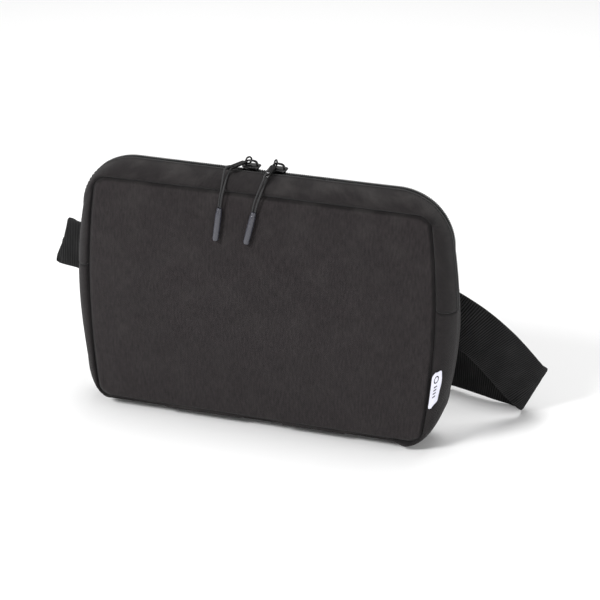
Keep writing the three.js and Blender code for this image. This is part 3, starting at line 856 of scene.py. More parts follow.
class RowTree(GrowingTree):
    """Sets one small piece at even steps along a path, turned to the path and to its outward side."""

    name = "row of pieces"
    sockets = {
        "Piece": "NodeSocketObject",
        "Pitch": "NodeSocketFloat",
        "Size": "NodeSocketVector",
        "Turn": "NodeSocketFloat",
        "Scatter": "NodeSocketFloat",
        "Seed": "NodeSocketInt",
    }

    @classmethod
    def fill(cls, tree: Tree, given: Node) -> Socket:
        """Adds the row's nodes and returns the instances."""
        curve = add_node(tree, "GeometryNodeMeshToCurve", {0: given.outputs["Path"]})
        even = add_node(tree, "GeometryNodeResampleCurve", mode="LENGTH")
        tree.links.new(curve.outputs[0], even.inputs["Curve"])
        tree.links.new(given.outputs["Pitch"], even.inputs["Length"])
        tangent = add_node(tree, "GeometryNodeInputTangent")
        outward = point_value(tree, "outward", "FLOAT_VECTOR")
        along = add_node(tree, "FunctionNodeAlignRotationToVector", {"Vector": tangent.outputs[0]}, axis="X")
        lifted = add_node(
            tree,
            "FunctionNodeAlignRotationToVector",
            {"Rotation": along.outputs[0], "Vector": outward},
            axis="Z",
            pivot_axis="X",
        )
        spin = add_node(tree, "ShaderNodeCombineXYZ", {2: given.outputs["Turn"]})
        low = calc(tree, "MULTIPLY", given.outputs["Scatter"], -1.0)
        chance = add_node(tree, "FunctionNodeRandomValue", data_type="FLOAT")
        sockets = {s.name: s for s in chance.inputs if s.enabled}
        tree.links.new(low, sockets["Min"])
        tree.links.new(given.outputs["Scatter"], sockets["Max"])
        tree.links.new(given.outputs["Seed"], sockets["Seed"])
        sway = next(s for s in chance.outputs if s.enabled)
        shaken = add_node(tree, "ShaderNodeCombineXYZ", {1: sway, 2: sway})
        turns = {0: spin.outputs[0], 1: shaken.outputs[0]}
        total = add_node(tree, "ShaderNodeVectorMath", turns, operation="ADD")
        euler = add_node(tree, "FunctionNodeEulerToRotation", {0: total.outputs[0]})
        turned = add_node(
            tree,
            "FunctionNodeRotateRotation",
            {"Rotation": lifted.outputs[0], "Rotate By": euler.outputs[0]},
            rotation_space="LOCAL",
        )
        source = {"Object": given.outputs["Piece"], "As Instance": True}
        piece = add_node(tree, "GeometryNodeObjectInfo", source)
        row = add_node(
            tree,
            "GeometryNodeInstanceOnPoints",
            {
                "Points": even.outputs[0],
                "Instance": piece.outputs["Geometry"],
                "Rotation": turned.outputs[0],
                "Scale": given.outputs["Size"],
            },
        )
        return row.outputs[0]


class RibTree(GrowingTree):
    """Raises even ribs on a woven strap, by each point's distance along it."""

    name = "woven ribs"
    sockets = {"Pitch": "NodeSocketFloat", "Height": "NodeSocketFloat"}

    @classmethod
    def fill(cls, tree: Tree, given: Node) -> Socket:
        """Adds the ribs' nodes and returns the raised mesh."""
        wave = waves(tree, calc(tree, "DIVIDE", point_value(tree, "distance"), given.outputs["Pitch"]))
        lift = calc(tree, "MULTIPLY", calc(tree, "SUBTRACT", wave, 0.6), given.outputs["Height"])
        masked = calc(tree, "MULTIPLY", lift, point_value(tree, "rib_share"))
        normal = add_node(tree, "GeometryNodeInputNormal")
        scaled = {0: normal.outputs[0], "Scale": masked}
        offset = add_node(tree, "ShaderNodeVectorMath", scaled, operation="SCALE")
        raised = add_node(
            tree, "GeometryNodeSetPosition", {"Geometry": given.outputs["Path"], "Offset": offset.outputs[0]}
        )
        return raised.outputs[0]


def path_object(name: str, lines: Sequence[Line], closed: bool = False) -> Object:
    """Lines of points with their outward directions, for a row to follow.

    Args:
        name: the row's name.
        lines: for each line its points, each with the direction that faces out there.
        closed: joins each line's end to its start.

    Returns:
        An object of edges.
    """
    vertices, edges, outward = [], [], []
    for line in lines:
        first = len(vertices)
        for point, out in line:
            vertices.append(tuple(point))
            outward.append(tuple(out))
        edges += [(k, k + 1) for k in range(first, len(vertices) - 1)]
        if closed:
            edges.append((len(vertices) - 1, first))
    mesh = bpy.data.meshes.new(name)
    mesh.from_pydata(vertices, edges, [])
    attribute = mesh.attributes.new("outward", "FLOAT_VECTOR", "POINT")
    attribute.data.foreach_set("vector", np.array(outward, np.float32).ravel())
    return new_object(name, mesh)


class SmallPieces:
    """The little shapes that rows repeat. They are taken away again at the end."""

    made: dict[str, Object] = {}

    @classmethod
    def stitch(cls) -> Object:
        """One stitch of unit length along X, with rounded ends."""
        if "stitch" not in cls.made:
            profile = [(0, -0.5), (0.34, -0.42), (0.5, -0.22), (0.5, 0.22), (0.34, 0.42), (0, 0.5)]
            cls.made["stitch"] = lathe("unit_stitch", profile, 6, Matrix.Rotation(math.pi / 2, 4, "Y"))
        return cls.made["stitch"]

    @classmethod
    def tooth(cls) -> Object:
        """One loop of the zip's coil, of unit length along Y, thicker at its head."""
        if "tooth" not in cls.made:
            profile = [(0, -0.5), (0.36, -0.48), (0.62, -0.36), (0.5, -0.2), (0.46, 0.3), (0.4, 0.47), (0, 0.5)]
            cls.made["tooth"] = lathe("unit_tooth", profile, 8, Matrix.Rotation(-math.pi / 2, 4, "X"))
        return cls.made["tooth"]

    @classmethod
    def clear(cls) -> None:
        """Removes the unit shapes."""
        for obj in cls.made.values():
            bpy.data.objects.remove(obj)
        cls.made.clear()


@dataclass(frozen=True)
class Sewing:
    """A kind of sewn row: thread width, stitch length and spacing."""

    length: float = 0.0024
    pitch: float = 0.0031
    width: float = 0.0005
    height: float = 0.00045
    scatter: float = 0.05

    def sew(
        self,
        name: str,
        lines: Sequence[Line],
        body: str = "bag",
        closed: bool = False,
        slot: str = "gusset_fabric",
    ) -> Object:
        """Sews rows along lines.

        Args:
            name: the row's name.
            lines: points with their outward directions, one list for each row.
            body: the body it moves with.
            closed: joins each line's end to its start.
            slot: not used.

        Returns:
            The row of stitches.
        """
        row = path_object(name, lines, closed)
        RowTree.run(
            row, "thread", Piece=SmallPieces.stitch(), Pitch=self.pitch,
            Size=(self.length, self.width, self.height), Turn=0.0, Scatter=self.scatter, Seed=3,
        )
        return place_piece(row, "thread", body)


# ---- The bag's form ----
@dataclass(frozen=True)
class Outline:
    """A rounded rectangle whose short sides bow out, walked by stations from 0 to 8."""

    width: float
    height: float
    corner: float
    bow: float

    def point(self, station: float, inset: float = 0.0) -> Vector:
        """The outline's point at a station.

        Args:
            station: 0 to 1 is the bottom, 1 to 2 the lower right corner, and so on round.
            inset: how far inside the outline.

        Returns:
            X and Z from the outline's middle.
        """
        turned = station % 8
        part = int(turned)
        share = turned - part
        side = part >> 1
        half_w, half_h = self.width / 2 - inset, self.height / 2 - inset
        r = max(self.corner - inset, MM)
        along = ((1, 0), (0, 1), (-1, 0), (0, -1))[side]
        out = ((0, -1), (1, 0), (0, 1), (-1, 0))[side]
        reach = half_w if side % 2 else half_h
        run = (half_h if side % 2 else half_w) - r
        if part % 2 == 0:
            bow = (self.bow if side % 2 else 0.0) * 4 * share * (1 - share)
            travel = run * (2 * share - 1)
            return Vector([along[k] * travel + out[k] * (reach + bow) for k in (0, 1)])
        angle = (side - 1 + share) * math.pi / 2
        x = along[0] * run + out[0] * (reach - r)
        z = along[1] * run + out[1] * (reach - r)
        return Vector((x + r * math.cos(angle), z + r * math.sin(angle)))


@dataclass(frozen=True)
class BagForm:
    """The bag's shared surface: its seams, its crest and the gusset's arc between them."""

    seam: Outline = Outline(0.232, 0.158, 0.0096, 0.0047)
    crest: Outline = Outline(0.256, 0.182, 0.039, 0.0047)
    half_depth: float = 0.020
    middle_z: float = 0.091
    plateau: float = 0.4
    fabric: float = 0.0009
    gap: float = 0.0003
    groove: float = 0.0019
    groove_width: float = 0.0014
    pucker: float = 0.00048
    pucker_length: float = 0.009
    sag: float = 0.0007
    sag_length: float = 0.05
    top_sag: float = 0.0008
    rear_dip: float = 0.0040
    corner_dip: float = 0.0030
    hem_drop: float = 0.0050
    zip_end: float = 0.102
    corner_fall: float = 0.28
    corner_in: float = 0.0022
    corner_sink: float = 0.0028
    hem_height: float = 0.0072
    hem_bulge: float = 0.0020
    hem_slope: float = 0.42

    def _slump(self, station: float) -> Vector:
        """How far the top of the crest sinks between its corners, in X and Z."""
        return Vector((0.0, -self.top_sag * max(0.0, 1 - abs(station % 8 - 4.5) / 0.9) ** 0.5))

    def gusset(self, station: float, v: float) -> Vector:
        """A point of the gusset, v from 0 at the front seam to 1 at the rear seam."""
        swell = min(1.0, math.sin(math.pi * v) / math.sin(math.pi * self.plateau))
        p = self.seam.point(station).lerp(self.crest.point(station) + self._slump(station), swell)
        return Vector((p.x, -self.half_depth * math.cos(math.pi * v), self.middle_z + p.y))

    def arc(self, station: float) -> list[float]:
        """The gusset's running length from the front seam, at 41 even shares."""
        return running_length([self.gusset(station, v) for v in spaced(0, 1, 41)])

    def cloth(self, station: float, v: float, arc: Sequence[float]) -> tuple[Vector, Vector, float]:
        """A softened point of the gusset, its outward direction and its distance from the front seam."""
        here = np.interp(v, spaced(0, 1, 41), arc)
        out = self.outward(station, v)
        calm = 1.0 if station % 8 < 2.2 or station % 8 > 6.8 else 0.25
        return self.soften(self.gusset(station, v), out, here, arc[-1] - here, calm), out, here

    def dip(self, station: float, v: float) -> float:
        """How far the rear cover of the zip lies below the front one."""
        turned = station % 8
        along = smooth_step(turned, 2.4, 3.1) * (1 - smooth_step(turned, 5.9, 6.6))
        corner = max(0.0, 1 - 2 * min(abs(turned - 3.5), abs(turned - 5.5)))
        depth = self.rear_dip + (self.corner_dip - self.rear_dip) * corner
        return depth * along * smooth_step(v, 0.47, 0.61) * (1 - smooth_step(v, 0.68, 1.0))

    def outward(self, station: float, v: float) -> Vector:
        """The direction that faces out of the gusset there."""
        step = 1e-3
        across = self.gusset(station, min(1.0, v + step)) - self.gusset(station, max(0.0, v - step))
        along = self.gusset(station + step, v) - self.gusset(station - step, v)
        return across.cross(along).normalized()

    def soften(self, point: Vector, out: Vector, to_front: float, to_rear: float, calm: float) -> Vector:
        """Sinks the seams, puckers the cloth beside them and lets the rest sag a little.

        Args:
            point: a point of the plain surface.
            out: its outward direction.
            to_front: distance along the surface to the front seam.
            to_rear: distance along the surface to the rear seam.
            calm: 0 where the zip holds the cloth still, up to 1.

        Returns:
            The softened point.
        """
        near = min(to_front, to_rear)
        ease = math.exp(-((near / self.groove_width) ** 2))
        gather = bumps(point, self.pucker_length, 1) + 0.5 * bumps(point, self.pucker_length / 2, 2)
        gather *= 0.2 + 0.8 * smooth_step(point.z, 0.010, 0.030)
        lift = -self.groove * ease * (1 + 0.3 * gather)
        lift += self.pucker * gather * math.exp(-near / 0.007)
        sagging = self.sag * calm * bumps(point, self.sag_length, 5)
        lift += sagging * smooth_step(point.z, 0.0, 0.02) * min(1.0, near / 0.012)
        soft = point + out * lift
        soft.z = max(soft.z, 0.0001)
        return soft

    def relax(self, point: Vector) -> Vector:
        """Lets the empty bag slump: its upper rear corners fall forward and its front hem drops.

        Args:
            point: a point of the bag at rest, before it slumps.

        Returns:
            The point after it.
        """
        moved = point.copy()
        rear = max(0.0, point.y / self.half_depth)
        corner = smooth_step(abs(point.x), 0.055, 0.118) * smooth_step(point.z, 0.105, 0.172)
        moved.y -= self.corner_fall * corner * max(0.0, point.y)
        moved.x -= math.copysign(self.corner_in, point.x) * corner * min(1.0, rear)
        moved.z -= self.corner_sink * corner * min(1.0, rear)
        front = min(1.0, max(0.0, (-point.y - 0.006) / 0.014))
        moved.z -= self.hem_drop * front * smooth_step(-point.z, -0.072, -0.012)
        behind = moved.y + self.half_depth
        taut = self.hem_height + self.hem_bulge * smooth_step(behind, 0.0, 0.0020) - self.hem_slope * behind
        if point.y > -self.half_depth - 0.0005 and moved.z < taut + 0.002:
            straight = 1 - smooth_step(point.x, 0.092, 0.105) - smooth_step(-point.x, 0.102, 0.118)
            moved.z += max(0.0, taut - moved.z) * max(0.0, straight)
        moved.z = max(moved.z, min(point.z, 0.0002))
        return moved

    def seam_shade(self, near: float) -> float:
        """How much painted shade darkens the cloth beside a seam, from 0 to 1."""
        return math.exp(-((near / 0.0011) ** 2))

    def share_at(self, y: float) -> float:
        """The gusset's share v at a depth in the bag."""
        return math.acos(-y / self.half_depth) / math.pi

    def side_station(self, height: float) -> float:
        """The right side's station whose crest stands at a height."""
        straight = self.crest.height - 2 * self.crest.corner
        return 2 + min(0.98, max(0.02, (height - self.middle_z) / straight + 0.5))

    def stations(self, start: float, end: float, step: float = 0.0028) -> list[float]:
        """Stations from start to end, about a step apart along the crest."""
        marks = [start, start + 0.004, start + 0.009, start + 0.016]
        for part in range(math.floor(start), math.ceil(end)):
            low, high = max(start, part), min(end, part + 1)
            if high - low < 1e-6:
                continue
            length = running_length([self.crest.point(low + (high - low) * k / 8) for k in range(9)])[-1]
            count = max(2, round(length / step))
            marks += [low + (high - low) * (k + 1) / count for k in range(count)]
        marks += [end - 0.004, end - 0.009, end - 0.016]
        return sorted(m for m in set(marks) if start <= m <= end)


FORM = BagForm()


@dataclass(frozen=True)
class GussetSheet:
    """One cut of cloth that lies on the gusset between two shares of its arc."""

    start: float
    end: float
    low: float
    high: float
    depth: float = 0.0
    thickness: float = 0.0009
    allowance: float = 0.0032
    hem: float = 0.0

    def shares(self) -> list[float]:
        """Shares of the arc, close together beside the seams."""
        marks = [0.0, 0.012, 0.025, 0.04, 0.058, 0.08, 0.105, 0.135, 0.17, 0.21, 0.25, 0.29, 0.33, 0.37, 0.4]
        marks += [0.43, 0.46, 0.5]
        marks += [1 - m for m in reversed(marks[:-1])]
        inside = [m for m in marks if self.low + 0.004 < m < self.high - 0.004]
        return [self.low, *inside, self.high]

    def build(self, name: str) -> Object:
        """Lofts the sheet and gives it its thickness.

        Args:
            name: the piece's name.

        Returns:
            The cloth, with turned-in edges at a seam and a folded hem where it has one.
        """
        stations, shares = FORM.stations(self.start, self.end), self.shares()
        rows, uv, painted_shades = [], [], []
        plain_row: list[Vector] = []
        along = 0.0
        for station in stations:
            arc = FORM.arc(station)
            row, marks, shade = [], [], []
            for v in shares:
                point, out, here = FORM.cloth(station, v, arc)
                crease = math.exp(-(((station % 8 - 3.42) / 0.07) ** 2)) * math.exp(-here / 0.009)
                join = min(abs(station - self.start), abs(station - self.end)) * 0.104
                sunk = math.exp(-((join / 0.0009) ** 2))
                point -= out * (self.depth + FORM.dip(station, v) + 0.0011 * crease + 0.0006 * sunk)
                # Painted shade beside the seams, in the corner crease and in the sunk join at each end.
                shade.append(max(FORM.seam_shade(min(here, arc[-1] - here)), 0.5 * crease, 0.6 * sunk))
                if self.hem and 0.2 < v < 0.8:
                    edge = min(abs(v - self.low), abs(self.high - v)) * 0.05
                    point += out * self.hem * math.exp(-((edge / 0.0013) ** 2))
                    # Painted shade along the zip slot's edge, over the rim of the hem.
                    shade[-1] = max(shade[-1], 0.9 * math.exp(-((edge / 0.0011) ** 2)))
                row.append(FORM.relax(point))
                marks.append(here)
            if self.allowance:
                for share, at, step in ((shares[0], 0, -1.0), (shares[-1], -1, 1.0)):
                    if 0.001 < share < 0.999:
                        continue
                    inward = Vector((0, -step, 0)) * self.allowance
                    edge = row[at]
                    extra = [edge + inward, edge + inward * 0.45]
                    # The turned-in seam allowance is painted fully in shade.
                    shade = [1.0, 1.0, *shade] if at == 0 else [*shade, 1.0, 1.0]
                    if at == 0:
                        row = extra + row
                        marks = [marks[0] - self.allowance, marks[0] - self.allowance * 0.45, *marks]
                    else:
                        row = row + extra[::-1]
                        marks = [*marks, marks[-1] + self.allowance * 0.45, marks[-1] + self.allowance]
            if plain_row:
                along += (row[len(row) // 2] - plain_row[len(row) // 2]).length
            plain_row = row
            rows.append(row)
            painted_shades += shade
            uv.append([(along, m) for m in marks])
        sheet = skin(name, rows, uv, flip=True)
        mark_points(sheet, "seam_shade", painted_shades)
        return thicken(sheet, self.thickness)

    def line(self, v: float, lift: float, start: float | None = None, end: float | None = None) -> Line:
        """A line along the sheet for a sewn row.

        Args:
            v: the share of the arc it runs at.
            lift: its height over the plain surface.
            start: its first station, or the sheet's own.
            end: its last station, or the sheet's own.

        Returns:
            Points with their outward directions.
        """
        points = []
        for station in FORM.stations(start or self.start, end or self.end):
            soft, out, _ = FORM.cloth(station, v, FORM.arc(station))
            points.append((FORM.relax(soft + out * (lift - FORM.dip(station, v))), out))
        return points


@dataclass(frozen=True)
class PaddedPanel:
    """The front or rear panel: cloth over foam, filled out by a simulation and sewn down all round."""

    side: Side
    dome: float
    thickness: float = 0.0042
    edge_inset: float = 0.00022
    cell: float = 0.0026
    pressure: float = 3.5
    spare: float = 0.001
    cap: float = 0.0036
    frames: int = 20
    softness: float = 0.0009

    def _rim(self) -> Callable[[float, float], Vector]:
        """A function from a point on the unit square's edge to the seam's outline."""
        tables = []
        for corner in (-0.5, 1.5, 3.5, 5.5):
            stations = spaced(corner, corner + 2, 161)
            points = [FORM.seam.point(s, self.edge_inset) for s in stations]
            lengths = running_length(points)
            tables.append((stations, lengths))

        def rim(a: float, b: float) -> Vector:
            """The outline's point for a point on the square's edge."""
            if b <= -abs(a):
                side, t = 0, (a + 1) / 2
            elif a >= abs(b):
                side, t = 1, (b + 1) / 2
            elif b >= abs(a):
                side, t = 2, (1 - a) / 2
            else:
                side, t = 3, (1 - b) / 2
            stations, lengths = tables[side]
            target = t * lengths[-1]
            k = min(max(bisect_right(lengths, target) - 1, 0), len(lengths) - 2)
            share = (target - lengths[k]) / (lengths[k + 1] - lengths[k])
            return FORM.seam.point(stations[k] + share * (stations[k + 1] - stations[k]), self.edge_inset)

        return rim

    def _plan(self, across: Sequence[float], up: Sequence[float]) -> np.ndarray:
        """X and Z of a grid that fills the seam's outline."""
        rim = self._rim()
        plan = np.zeros((len(up), len(across), 2))
        for j, b in enumerate(up):
            for i, a in enumerate(across):
                s = max(abs(a), abs(b))
                if s > 1e-9:
                    plan[j, i] = rim(a / s, b / s) * s
        return plan

    def _crown(self, plan: np.ndarray) -> np.ndarray:
        """How far the panel swells past its seam, at each point of a plan."""
        half_w, half_h = FORM.seam.width / 2 + FORM.seam.bow, FORM.seam.height / 2
        u = np.clip(np.abs(plan[..., 0]) / half_w, 0, 1)
        v = np.clip(np.abs(plan[..., 1]) / half_h, 0, 1)
        return self.dome * (1 - u**3.2) * (1 - v**3.0)

    def _simulate(self, across: np.ndarray, up: np.ndarray) -> np.ndarray:
        """Fills the panel out as cloth held at its seam.

        Args:
            across: the grid's places from side to side, from -1 to 1.
            up: the grid's places from bottom to top.

        Returns:
            How far each grid point moved, in metres.
        """
        plan = self._plan(across, up)
        crown = self._crown(plan) * 0.85
        sign = self.side.value
        rows = [
            [
                Vector((plan[j, i, 0], sign * (FORM.half_depth + crown[j, i]), FORM.middle_z + plan[j, i, 1]))
                for i in range(len(across))
            ]
            for j in range(len(up))
        ]
        uv = [[(0.0, 0.0)] * len(across) for _ in up]
        sheet = skin("padding_cloth", rows, uv, flip=sign < 0)
        held = sheet.vertex_groups.new(name="held")
        width, height = len(across), len(up)
        sides, ends = (0, width - 1), (0, height - 1)
        edge = [k for k in range(width * height) if k % width in sides or k // width in ends]
        held.add(edge, 1.0, "REPLACE")
        cloth = sheet.modifiers.new("cloth", "CLOTH")
        settings = cloth.settings
        settings.quality = 6
        settings.mass = 0.2
        settings.tension_stiffness = settings.compression_stiffness = 12
        settings.shear_stiffness = 4
        settings.bending_stiffness = 2.5
        settings.use_pressure = True
        settings.uniform_pressure_force = self.pressure
        settings.shrink_min = -self.spare
        settings.vertex_group_mass = "held"
        settings.effector_weights.gravity = 0.0
        cloth.collision_settings.use_collision = False
        scene = bpy.context.scene
        cloth.point_cache.frame_end = self.frames
        for number in range(1, self.frames + 1):
            scene.frame_set(number)
        settle(sheet)
        moved = np.zeros(width * height * 3, np.float32)
        sheet.data.vertices.foreach_get("co", moved)
        start = np.array([tuple(p) for row in rows for p in row]).reshape(height, width, 3)
        shift = moved.reshape(height, width, 3) - start
        bpy.data.objects.remove(sheet)
        scene.frame_set(1)
        length = np.linalg.norm(shift, axis=2, keepdims=True)
        held_back = 100 * float((length > self.cap).mean())
        highest = length.max() / MM
        LOG.info("padding cloth rose %.2f mm at most, %.1f%% held back by its limit", highest, held_back)
        return shift * np.minimum(1.0, self.cap / np.maximum(length, 1e-9))

    def _levels(self, half: float) -> np.ndarray:
        """Grid places from -1 to 1, close together beside the seam."""
        near = [0.0, 0.25, 0.6, 1.0, 1.5, 2.1, 2.8, 3.7, 4.8, 6.2, 7.9, 10.0]
        inner = 1 - near[-1] * MM / half
        middle = spaced(0, inner, max(4, round(inner * half / 0.0024)))
        places = [*middle, *[1 - d * MM / half for d in reversed(near[:-1])]]
        return np.array([-p for p in reversed(places[1:])] + places)

    def build(self, name: str) -> Object:
        """Makes the closed pad: the swollen outside, the turned-in edge and the inside face."""
        sign = self.side.value
        half_w, half_h = FORM.seam.width / 2, FORM.seam.height / 2
        across, up = self._levels(half_w), self._levels(half_h)
        plan = self._plan(across, up)
        crown = self._crown(plan)
        shift = np.zeros((len(up), len(across), 3))
        coarse_a = np.linspace(-1, 1, round(2 * half_w / self.cell))
        coarse_b = np.linspace(-1, 1, round(2 * half_h / self.cell))
        moved = self._simulate(coarse_a, coarse_b)
        mean = moved[2:-2, 2:-2, 1].mean()
        LOG.info("%s padding moved %.2f mm on average", name, abs(mean) / MM)
        for axis in range(3):
            part = np.array([np.interp(across, coarse_a, row) for row in moved[..., axis]])
            shift[..., axis] = np.array([np.interp(up, coarse_b, column) for column in part.T]).T
        outer, inner, flat, painted_shades = [], [], [], []
        for j in range(len(up)):
            for i in range(len(across)):
                x, z = plan[j, i]
                to_side = (1 - abs(across[i])) * half_w
                to_end = (1 - abs(up[j])) * half_h
                near = min(to_side, to_end)
                base = Vector((x, sign * (FORM.half_depth + crown[j, i] * 0.93), FORM.middle_z + z))
                out = Vector((0, sign, 0))
                point = FORM.soften(base, out, near, 1.0, 0.0) + Vector(shift[j, i])
                point += out * self.softness * bumps(base, 0.045, 9) * min(1.0, near / 0.02)
                outer.append(FORM.relax(point))
                # Painted shade beside the seam.
                painted_shades.append(FORM.seam_shade(near))
                depth = sign * (FORM.half_depth + crown[j, i] - self.thickness)
                inner.append(FORM.relax(Vector((x * 0.9965, depth, FORM.middle_z + z * 0.995))))
                flat.append((x, z))
        width, height = len(across), len(up)
        at = lambda i, j: j * width + i
        count = width * height
        faces, corners = [], []

        def quad(a: int, b: int, c: int, d: int) -> None:
            """Adds one face, turned outward, with its surface coordinates."""
            order = (a, b, c, d) if sign < 0 else (d, c, b, a)
            faces.append(order)
            corners.extend(flat[k % count] for k in order)

        for j in range(height - 1):
            for i in range(width - 1):
                quad(at(i, j), at(i + 1, j), at(i + 1, j + 1), at(i, j + 1))
                quad(*(count + k for k in (at(i, j), at(i, j + 1), at(i + 1, j + 1), at(i + 1, j))))
        loop = [at(i, 0) for i in range(width)] + [at(width - 1, j) for j in range(1, height)]
        loop += [at(i, height - 1) for i in range(width - 2, -1, -1)]
        loop += [at(0, j) for j in range(height - 2, 0, -1)]
        for a, b in zip(loop, [*loop[1:], loop[0]]):
            quad(b, a, count + a, count + b)
        pad = mesh_object(name, outer + inner, faces, corners)
        # The inside face is painted fully in shade.
        mark_points(pad, "seam_shade", painted_shades + [1.0] * count)
        return pad


class Shell:
    """The bag's padded panels, gusset, linings and their seams."""

    front = PaddedPanel(Side.FRONT, 0.005)
    rear = PaddedPanel(Side.REAR, 0.0025)
    end_gap = 0.0001
    edge_sewing = Sewing(length=0.0022, pitch=0.003, width=0.00045, height=0.0004)

    def build(self) -> None:
        """Makes and places every piece of the shell."""
        zip_start = FORM.side_station(FORM.zip_end)
        gap = self.end_gap / (FORM.crest.height - 2 * FORM.crest.corner)
        start, end = 9 - zip_start + gap - 8, zip_start - gap
        for panel, name in ((self.front, "front"), (self.rear, "back")):
            pad = panel.build(f"{name}_pad")
            place_piece(pad, "shell", stands_for=(f"{name}_panel", f"{name}_foam"))
        band = GussetSheet(start, end, 0.0, 1.0)
        place_piece(band.build("gusset_cloth"), "gusset", stands_for=("gusset_band",))
        inner = GussetSheet(start, end, 0.09, 0.91, depth=0.0016, thickness=0.0005, allowance=0)
        place_piece(inner.build("gusset_inner"), "lining", stands_for=("gusset_lining",))
        for side, name in ((Side.FRONT, "front"), (Side.REAR, "rear")):
            self._seam_row(side, name)
        for node in ("front_lining", "back_lining", "seam_binding_front", "seam_binding_rear"):
            copy = softened_copy(node, f"{node}_cloth", 0.0001, 1)
            for vertex in copy.data.vertices:
                vertex.co = FORM.relax(vertex.co)
            place_piece(copy, "lining", stands_for=(node,))

    def _seam_row(self, side: Side, name: str) -> None:
        """Sews the thread that shows down in one seam."""
        line = []
        for station in FORM.stations(0, 8, 0.004)[:-1]:
            p = FORM.seam.point(station)
            y = side.value * (FORM.half_depth - FORM.groove - 0.0009)
            line.append((FORM.relax(Vector((p.x, y, FORM.middle_z + p.y))), Vector((0, side.value, 0))))
        self.edge_sewing.sew(f"seam_thread_{name}", [line], closed=True)


@dataclass(frozen=True)
class Zip:
    """The zip: two cloth flaps, two tapes and two rows of coil."""

    slot: float = 0.010
    tape_width: float = 0.011
    tape: float = 0.0005
    coil_gap: float = 0.0008
    coil_width: float = 0.0026
    coil_pitch: float = 0.0013
    coil_top: float = 0.0003
    topstitch: float = 0.0022

    def build(self) -> None:
        """Makes and places both halves and their stitching."""
        start = FORM.side_station(FORM.zip_end)
        end = 9 - start
        for side, name in ((Side.FRONT, "front"), (Side.REAR, "rear")):
            mirror = (lambda v: v) if side is Side.FRONT else (lambda v: 1 - v)
            span = lambda a, b: sorted((mirror(a), mirror(b)))
            low, high = span(0.0, FORM.share_at(-self.slot / 2))
            flap = GussetSheet(start, end, low, high, hem=0.00012)
            cover = flap.build(f"zip_cover_{name}")
            place_piece(cover, "gusset", stands_for=(f"zip_flap_{name}",))
            stitch_v = mirror(FORM.share_at(-self.slot / 2 - self.topstitch))
            Sewing().sew(f"zip_topstitch_{name}", [flap.line(stitch_v, 0.0002)])
            inside, outside = FORM.share_at(-self.coil_gap / 2), FORM.share_at(-self.tape_width - 0.0006)
            low, high = span(outside, inside)
            depth = FORM.fabric + FORM.gap
            tape = GussetSheet(start, end, low, high, depth=depth, thickness=self.tape, allowance=0)
            ribbon = tape.build(f"zip_ribbon_{name}")
            place_piece(ribbon, "tape", stands_for=(f"zip_tape_{name}",))
            self._teeth(side, name, tape, mirror)

    def _teeth(self, side: Side, name: str, tape: GussetSheet, mirror: Callable[[float], float]) -> None:
        """Winds one half's coil along its tape, and sews it down."""
        middle = mirror(FORM.share_at(-self.coil_gap / 2 - self.coil_width / 2))
        radius = 0.00075
        line = tape.line(middle, self.coil_top - radius)
        if side is Side.REAR:
            first, second = line[0], line[1]
            line[0] = (first[0].lerp(second[0], self.coil_pitch / 2 / (second[0] - first[0]).length), first[1])
        coil = path_object(f"zip_teeth_{name}", [line])
        head = -1.0 if side is Side.REAR else 1.0
        RowTree.run(
            coil, "coil", Piece=SmallPieces.tooth(), Pitch=self.coil_pitch,
            Size=(0.0010, self.coil_width * head, 0.0015), Turn=0.0, Scatter=0.0, Seed=1,
        )
        if head < 0:
            with opened(coil.data) as bm:
                bmesh.ops.reverse_faces(bm, faces=bm.faces[:])
        place_piece(coil, "coil", stands_for=(f"zip_coil_{name}",))
        stitch_v = mirror(FORM.share_at(-self.coil_gap / 2 - self.coil_width - 0.0004))
        Sewing(length=0.0016, pitch=0.0021, width=0.0004, height=0.0004).sew(
            f"coil_thread_{name}", [tape.line(stitch_v, -FORM.fabric - FORM.gap + 0.0001)], slot="zip_tape"
        )


# ---- Sliders and pulls ----
@dataclass(frozen=True)
class PullFrame:
    """The place of a pull: its hinge, and the way it lies."""

    hinge: Vector
    along: Vector
    axis: Vector
    above: Vector

    @classmethod
    def at(cls, hinge: Vector, forward: tuple[float, float], slope: float) -> "PullFrame":
        """A frame at a hinge, heading forward and down by a slope."""
        along = Vector((forward[0] * math.cos(slope), forward[1] * math.cos(slope), -math.sin(slope)))
        axis = Vector((-forward[1], forward[0], 0))
        return cls(hinge, along, axis, axis.cross(along))

    def matrix(self) -> Matrix:
        """Places a shape drawn with X along the hinge, Y along the pull and Z above it."""
        turn = Matrix((self.axis, self.along, self.above)).transposed().to_4x4()
        return Matrix.Translation(self.hinge) @ turn


def rounded_loop(half_w: float, half_h: float, radius: float, steps: int = 5) -> list[tuple[float, float]]:
    """Points round a rounded rectangle about the origin, anticlockwise."""
    loop = []
    for quarter, (sx, sy) in enumerate(((1, -1), (1, 1), (-1, 1), (-1, -1))):
        for k in range(steps + 1):
            angle = (quarter - 1 + k / steps) * math.pi / 2
            x = sx * (half_w - radius) + radius * math.cos(angle)
            loop.append((x, sy * (half_h - radius) + radius * math.sin(angle)))
    return loop


def swept(name: str, sections: Sequence[Sequence[Vector]], closed: bool = False) -> Object:
    """A closed shape through rings of points, with plain surface coordinates."""
    columns = len(sections[0])
    uv = [[(j * MM, i * MM) for j in range(columns + 1)] for i in range(len(sections) + 1)]
    obj = skin(name, sections, uv, close_rows=closed, close_columns=True, caps=not closed)
    with opened(obj.data) as bm:
        bmesh.ops.recalc_face_normals(bm, faces=bm.faces[:])
    return obj


